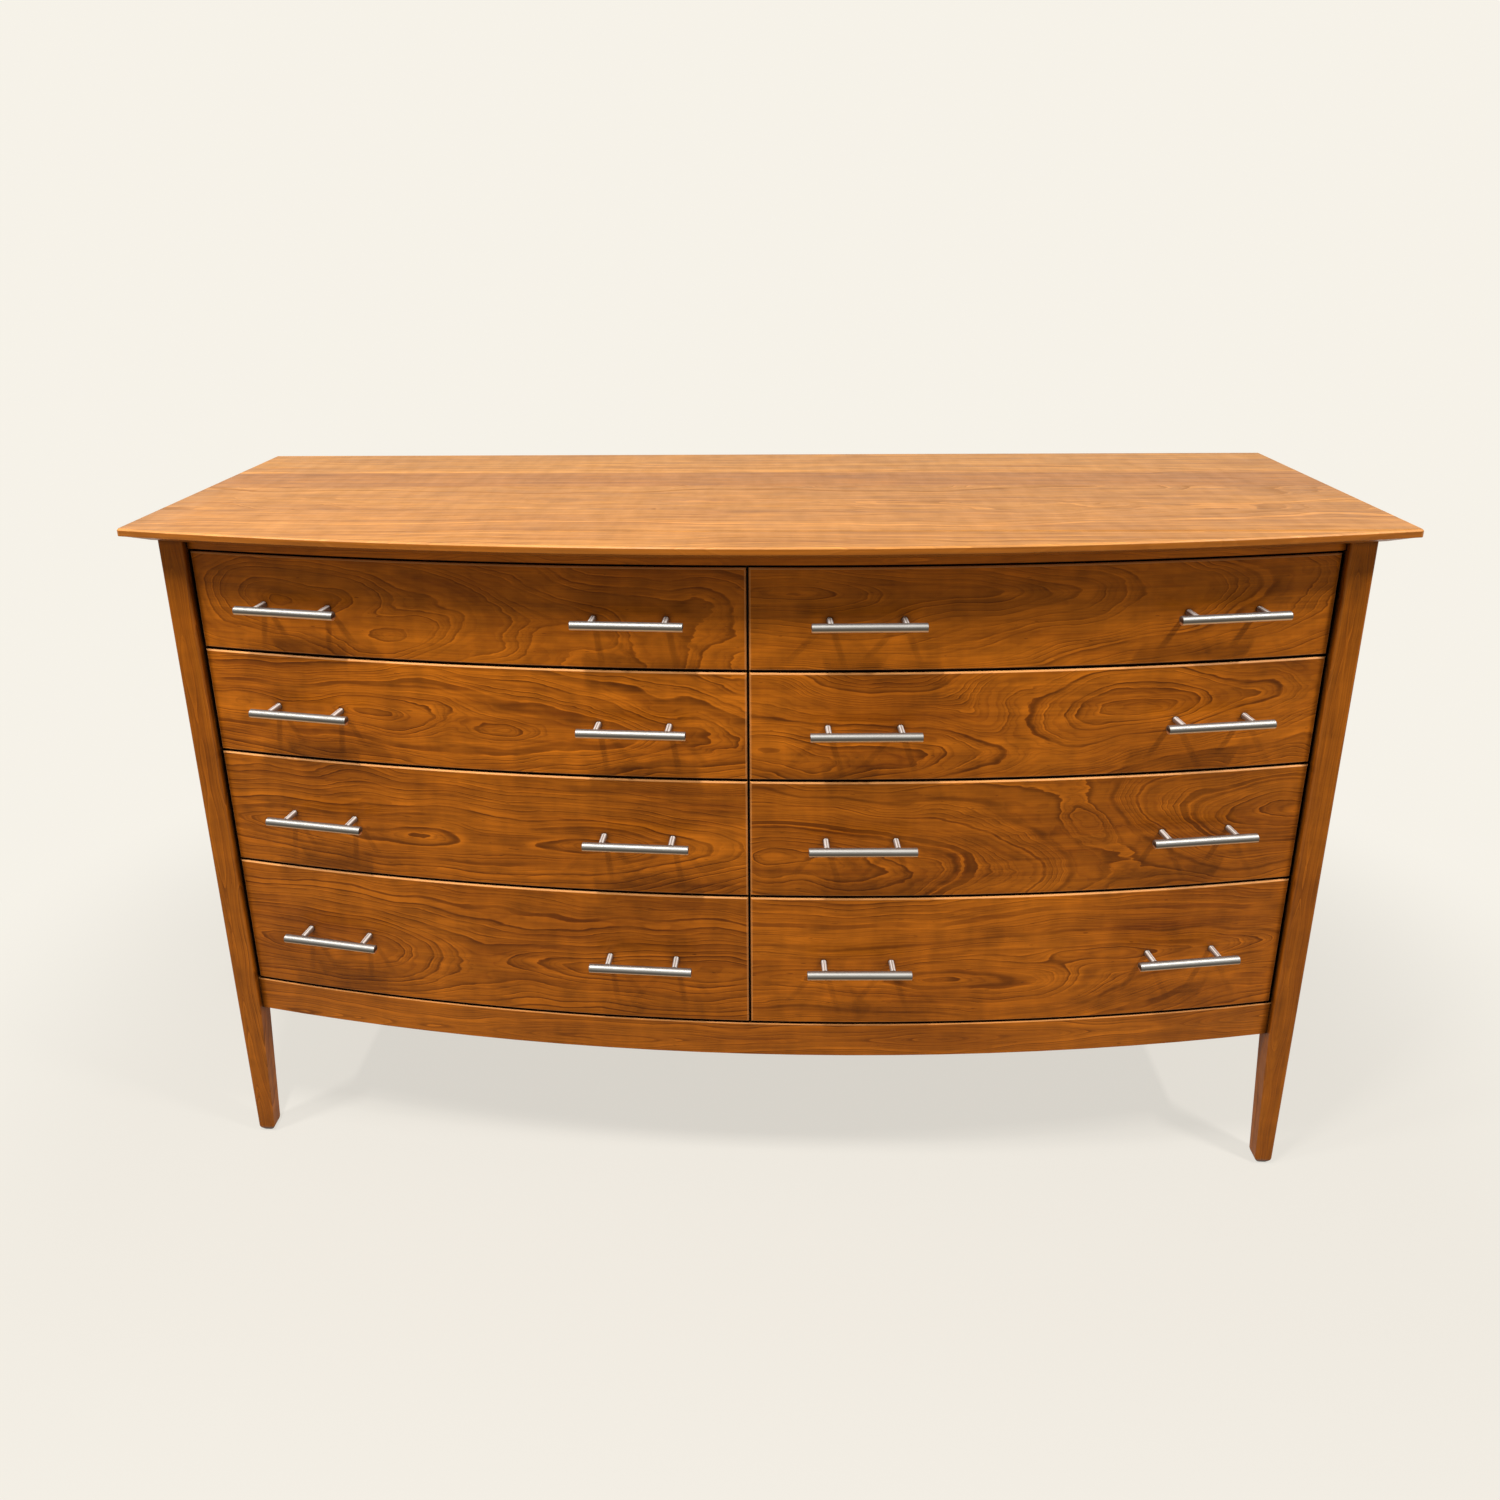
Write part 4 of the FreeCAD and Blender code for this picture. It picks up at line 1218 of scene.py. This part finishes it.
class DRESSER_OT_pulls(bpy.types.Operator):
    """Make the sixteen bar pulls where the frame has them"""
    bl_idname = "dresser.pulls"
    bl_label = "Bar pulls"

    def execute(self, context):
        """One mesh of two pulls for each drawer."""
        settings = context.scene.dresser_pulls
        tree = pull_tree()
        metal = None
        for column, row in DRAWERS:
            pulls = pulls_of(column, row)
            bar, (first, second) = pulls[0].bar, pulls[0].posts
            metal = metal or brushed_nickel(bar.radius)
            reach = (first.middle - bar.middle).dot(pulls[0].inward) + first.length / 2
            values = {"Bar length": bar.length, "Bar radius": bar.radius, "Bar sides": settings.bar_sides,
                      "Post spacing": (first.middle - second.middle).length, "Post radius": first.radius,
                      "Post length": reach, "Post sides": settings.post_sides, "Metal": metal}
            name = f"pulls_{column}_{row}"
            places = [pull.bar.middle for pull in pulls]
            mesh = on_points(name, places, [(0, 0, pull.turn) for pull in pulls], tree, values)
            mesh.shade_smooth()
            node = f"drawer_{column}_{row}_pulls"
            piece = dressed(name, mesh, node)
            rim = piece.modifiers.new("Rims", "BEVEL")
            rim.width = settings.rim
            rim.segments = RIM_STEPS
            rim.limit_method = "ANGLE"
            rim.angle_limit = SMOOTH
            rim.harden_normals = True
            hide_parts(node)
        return {"FINISHED"}


# Screws

# Shape of a pan head: where its dome starts and ends, and the cross cut in it, as shares of its size
RIM_SHARE = 0.5
DOME_SHARE = 0.62
CROSS_LENGTH_SHARE = 1.05
CROSS_WIDTH_SHARE = 0.24
SCREW_SIDES = 20


def screw_tree():
    """Pan head with a cross cut in its dome."""
    tree, given = repeating_tree("pan_heads", (("Head radius", "Float"), ("Head height", "Float")))
    radius, height = given["Head radius"], given["Head height"]
    rim_height = maths(tree, "MULTIPLY", height, RIM_SHARE)
    dome_height = maths(tree, "SUBTRACT", height, rim_height)
    rim = add(tree, "GeometryNodeMeshCylinder", {"Vertices": SCREW_SIDES, "Radius": radius,
                                                 "Depth": rim_height}).outputs["Mesh"]
    dome = add(tree, "GeometryNodeMeshCone", {
        "Vertices": SCREW_SIDES, "Radius Bottom": radius, "Depth": dome_height,
        "Radius Top": maths(tree, "MULTIPLY", radius, DOME_SHARE)}).outputs["Mesh"]
    dome = moved(tree, dome, joined(tree, z=rim_height))
    long = maths(tree, "MULTIPLY", radius, CROSS_LENGTH_SHARE)
    wide = maths(tree, "MULTIPLY", radius, CROSS_WIDTH_SHARE)
    cutters = []
    for size in ((long, wide, height), (wide, long, height)):
        bar = add(tree, "GeometryNodeMeshCube", {"Size": joined(tree, *size)}).outputs["Mesh"]
        cutters.append(moved(tree, bar, joined(tree, z=height)))
    crossed = add(tree, "GeometryNodeMeshBoolean", {"Mesh 1": dome}, operation="DIFFERENCE",
                  solver="MANIFOLD")
    for cutter in cutters:
        tree.links.new(cutter, crossed.inputs["Mesh 2"])
    seated = moved(tree, rim, joined(tree, z=maths(tree, "MULTIPLY", rim_height, 0.5)))
    repeat_on_points(tree, given, together(tree, [seated, crossed.outputs["Mesh"]]))
    return tree


def pull_screws(column, row):
    """Seats of the screws behind a drawer's posts: places on the inner face, and outward normals."""
    mesh = frame["nodes"][f"drawer_{column}_{row}_front"].data
    front = BVHTree.FromPolygons([v.co for v in mesh.vertices], [p.vertices for p in mesh.polygons])
    seats = []
    for pull in pulls_of(column, row):
        for post in pull.posts:
            inside = post.middle + pull.inward * pull.bar.length
            place, _, _, _ = front.ray_cast(inside, -pull.inward)
            if place is None:
                raise RuntimeError(f"no front behind a post of drawer {column} {row}")
            seats.append((place, pull.inward))
    return seats


def back_screws(spacing):
    """Seats of the screws that hold the back panel to the two rear rails."""
    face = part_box("back_panel")[1].y
    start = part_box("rear_left_leg")[1].x
    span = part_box("rear_right_leg")[0].x - start
    count = round(span / spacing)
    seats = []
    for rail in ("top_rear_rail", "bottom_rear_rail"):
        low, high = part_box(rail)
        for index in range(count):
            across = start + span * (index + 0.5) / count
            seats.append((Vector((across, face, (low.z + high.z) / 2)), Vector((0, 1, 0))))
    return seats


# Places of the screws along a slide, as shares of its length
SLIDE_SCREW_SHARES = (0.08, 0.5, 0.92)


def slide_screws(column):
    """Seats of the screws in the upright flange of each case slide."""
    seats = []
    for points in points_of_pieces(f"{column}_case_slides"):
        middle = box_middle(points)
        top = max(p.z for p in points)
        crest = [p for p in points if top - p.z < WELD]
        face = min((p.x for p in crest), key=lambda x: abs(x - middle.x))
        normal = Vector((math.copysign(1, middle.x - face), 0, 0))
        start = min(p.y for p in points)
        span = max(p.y for p in points) - start
        seats += [(Vector((face, start + share * span, middle.z)), normal) for share in SLIDE_SCREW_SHARES]
    return seats


def clip_screws():
    """Seats of the screws under the feet of the clips, driven up into the top board."""
    seats = []
    steel = None
    for points in points_of_pieces("top_clips"):
        top = max(p.z for p in points)
        steel = steel or top - max(p.z for p in points if top - p.z > WELD)
        foot = box_middle([p for p in points if top - p.z < WELD])
        seats.append((foot - UP * steel, -UP))
    return seats


class DRESSER_OT_screws(bpy.types.Operator):
    """Drive the screws of pulls, slides, clips and back panel"""
    bl_idname = "dresser.screws"
    bl_label = "Screws"

    def execute(self, context):
        """One mesh of screws for the case and one for each drawer."""
        settings = context.scene.dresser_screws
        tree = screw_tree()
        values = {"Head radius": settings.head_diameter / 2, "Head height": settings.head_height,
                  "Metal": bpy.data.materials["zinc_steel"]}
        groups = {"screws_case": ("back_panel", back_screws(settings.back_spacing) + clip_screws()
                                  + slide_screws("left") + slide_screws("right"))}
        for column, row in DRAWERS:
            groups[f"screws_{column}_{row}"] = (f"drawer_{column}_{row}_front", pull_screws(column, row))
        for name, (node, seats) in groups.items():
            turns = [normal.to_track_quat("Z", "Y").to_euler() for _, normal in seats]
            mesh = on_points(name, [place for place, _ in seats], turns, tree, values)
            dressed(name, mesh, node)
        return {"FINISHED"}


class DRESSER_OT_slides(bpy.types.Operator):
    """Finish the folded steel of slides, runners and clips"""
    bl_idname = "dresser.slides"
    bl_label = "Slides and clips"

    def execute(self, context):
        """Give each steel piece its plating."""
        zinc = zinc_steel()
        nodes = ["left_case_slides", "right_case_slides", "top_clips"]
        nodes += [f"drawer_{column}_{row}_runners" for column, row in DRAWERS]
        for node in nodes:
            mesh = frame["nodes"][node].data
            mesh.materials.clear()
            mesh.materials.append(zinc)
        return {"FINISHED"}


# Stage

LAMP_HEIGHT = 2.9
LAMP_FORWARD = -1.04
LAMP_SIZE = (0.14, 0.40)
# Each ceiling lamp's place across the room and its share of the power
LAMPS = {"left_lamp": (-2.0, 0.77), "middle_lamp": (-0.5, 0.68), "right_lamp": (2.0, 1.0)}
LAMP_COLOUR = (1.0, 0.97, 0.92)
SKY_COLOUR = (1.0, 0.985, 0.96)
FLOOR_REACH = 9.0
FLOOR_ROUGHNESS = 0.85
FLOOR_GLOSS = 0.2
# Where the floor melts into the backdrop, from the dresser's footprint, and its share of it close by
FLOOR_FADE = (0.10, 0.85)
FLOOR_LIFT = 0.72


def plainly_seen(tree):
    """1 where the camera sees a surface, by itself or mirrored in metal or through glass."""
    path = add(tree, "ShaderNodeLightPath").outputs
    seen = maths(tree, "MAXIMUM", path["Is Camera Ray"], path["Is Glossy Ray"])
    return maths(tree, "MAXIMUM", seen, path["Is Transmission Ray"])


def make_floor(context):
    """Pale floor that keeps the dresser's shadow and melts into the backdrop further out."""
    settings = context.scene.dresser_stage
    mesh = bpy.data.meshes.new("floor")
    corners = [(-FLOOR_REACH, -FLOOR_REACH, 0), (FLOOR_REACH, -FLOOR_REACH, 0),
               (FLOOR_REACH, FLOOR_REACH, 0), (-FLOOR_REACH, FLOOR_REACH, 0)]
    mesh.from_pydata(corners, [], [(0, 1, 2, 3)])
    floor = bpy.data.objects.new("floor", mesh)
    context.scene.collection.objects.link(floor)
    material, tree, shader = new_material("pale_floor")
    shader.inputs["Base Color"].default_value = opaque(settings.floor_colour)
    shader.inputs["Roughness"].default_value = FLOOR_ROUGHNESS
    shader.inputs["Specular IOR Level"].default_value = FLOOR_GLOSS
    place = vector_maths(tree, "ABSOLUTE", add(tree, "ShaderNodeTexCoord").outputs["Object"])
    footprint = (frame_box[1].x, frame_box[1].y, 0)
    beyond = vector_maths(tree, "MAXIMUM", vector_maths(tree, "SUBTRACT", place, footprint), (0, 0, 0))
    fade = ranged(tree, vector_maths(tree, "LENGTH", beyond), *FLOOR_FADE, FLOOR_LIFT, 1.0)
    share = maths(tree, "MULTIPLY", fade, plainly_seen(tree))
    glow = add(tree, "ShaderNodeEmission", {"Color": opaque(settings.backdrop), "Strength": 1.0})
    mixed = add(tree, "ShaderNodeMixShader", {0: share, 1: shader.outputs[0], 2: glow.outputs[0]})
    tree.links.new(mixed.outputs[0], tree.nodes["Material Output"].inputs["Surface"])
    mesh.materials.append(material)


def make_light(context):
    """Even light from all round and three ceiling lamps in front of the dresser."""
    settings = context.scene.dresser_stage
    world = bpy.data.worlds.new("studio")
    world.use_nodes = True
    tree = world.node_tree
    around = tree.nodes["Background"]
    around.inputs["Color"].default_value = opaque(SKY_COLOUR)
    around.inputs["Strength"].default_value = settings.sky
    backdrop = add(tree, "ShaderNodeBackground", {"Color": opaque(settings.backdrop), "Strength": 1.0})
    mixed = add(tree, "ShaderNodeMixShader",
                {0: plainly_seen(tree), 1: around.outputs[0], 2: backdrop.outputs[0]})
    tree.links.new(mixed.outputs[0], tree.nodes["World Output"].inputs["Surface"])
    context.scene.world = world
    for name, (across, share) in LAMPS.items():
        ceiling_lamp(context, name, (across, LAMP_FORWARD, LAMP_HEIGHT), share * settings.lamps)


def ceiling_lamp(context, name, place, power):
    """Ceiling lamp, narrow from side to side, that shines straight down."""
    data = bpy.data.lights.new(name, "AREA")
    data.shape = "RECTANGLE"
    data.size, data.size_y = LAMP_SIZE
    data.energy = power
    data.color = LAMP_COLOUR
    holder = bpy.data.objects.new(name, data)
    context.scene.collection.objects.link(holder)
    holder.location = place


# Where the photograph was taken from: place in metres, turns in degrees, and its centre in pixels
CAMERA_PLACE = (0.0379, -1.5368, 1.3977)
CAMERA_YAW = 3.415
CAMERA_PITCH = 17.147
CAMERA_ROLL = -0.877
SENSOR_WIDTH = 36
IMAGE_WIDTH = 1500
IMAGE_CENTRE_X = 715.9
IMAGE_CENTRE_Y = 562.7


def make_camera(context):
    """Camera at the photograph's viewing angle, its framing kept by a small shift."""
    yaw, pitch, roll = [math.radians(turn) for turn in (CAMERA_YAW, CAMERA_PITCH, CAMERA_ROLL)]
    ahead = Vector((-math.sin(yaw) * math.cos(pitch), math.cos(yaw) * math.cos(pitch), -math.sin(pitch)))
    level = Vector((math.cos(yaw), math.sin(yaw), 0))
    upward = level.cross(ahead)
    right = level * math.cos(roll) + upward * math.sin(roll)
    up = upward * math.cos(roll) - level * math.sin(roll)
    data = bpy.data.cameras.new("photo_camera")
    data.sensor_width = SENSOR_WIDTH
    data.lens = context.scene.dresser_stage.lens
    data.shift_x = (IMAGE_WIDTH / 2 - IMAGE_CENTRE_X) / IMAGE_WIDTH
    data.shift_y = (IMAGE_CENTRE_Y - IMAGE_WIDTH / 2) / IMAGE_WIDTH
    camera = bpy.data.objects.new("photo_camera", data)
    context.scene.collection.objects.link(camera)
    turn = Matrix((right, up, -ahead)).transposed().to_4x4()
    camera.matrix_world = Matrix.Translation(Vector(CAMERA_PLACE)) @ turn
    context.scene.camera = camera


class DRESSER_OT_stage(bpy.types.Operator):
    """Set the floor, the light and the camera"""
    bl_idname = "dresser.stage"
    bl_label = "Stage"

    def execute(self, context):
        """Make everything that surrounds the dresser."""
        make_floor(context)
        make_light(context)
        make_camera(context)
        context.scene.view_settings.view_transform = "Standard"
        return {"FINISHED"}


# Panel and registration

STEPS = (DRESSER_OT_stage, DRESSER_OT_fronts, DRESSER_OT_top, DRESSER_OT_frame, DRESSER_OT_panels,
         DRESSER_OT_boxes, DRESSER_OT_pulls, DRESSER_OT_slides, DRESSER_OT_screws)
GROUPS = {"dresser_wood": WoodSettings, "dresser_pulls": PullSettings, "dresser_screws": ScrewSettings,
          "dresser_stage": StageSettings}


class DRESSER_PT_panel(bpy.types.Panel):
    """Buttons that make the dresser, in order"""
    bl_idname = "DRESSER_PT_panel"
    bl_label = "Bow-front dresser"
    bl_space_type = "VIEW_3D"
    bl_region_type = "UI"
    bl_category = "Dresser"

    def draw(self, context):
        """One button for each step, and the settings below them."""
        for step in STEPS:
            self.layout.operator(step.bl_idname)
        for name in GROUPS:
            group = getattr(context.scene, name)
            box = self.layout.box()
            for setting in group.bl_rna.properties.keys():
                if setting not in ("rna_type", "name"):
                    box.prop(group, setting)


def register():
    """Add the settings, the operators and the panel."""
    for name, kind in GROUPS.items():
        bpy.utils.register_class(kind)
        setattr(bpy.types.Scene, name, PointerProperty(type=kind))
    for kind in (*STEPS, DRESSER_PT_panel):
        bpy.utils.register_class(kind)


def unregister():
    """Take away the panel, the operators and the settings."""
    for kind in (DRESSER_PT_panel, *reversed(STEPS)):
        bpy.utils.unregister_class(kind)
    for name, kind in reversed(GROUPS.items()):
        delattr(bpy.types.Scene, name)
        bpy.utils.unregister_class(kind)


def main():
    """Make the dresser and its stage."""
    register()
    wood_figure()
    bpy.ops.dresser.stage()
    bpy.ops.dresser.fronts()
    bpy.ops.dresser.top()
    bpy.ops.dresser.frame()
    bpy.ops.dresser.panels()
    bpy.ops.dresser.boxes()
    bpy.ops.dresser.pulls()
    bpy.ops.dresser.slides()
    bpy.ops.dresser.screws()


if __name__ == "__main__":
    main()
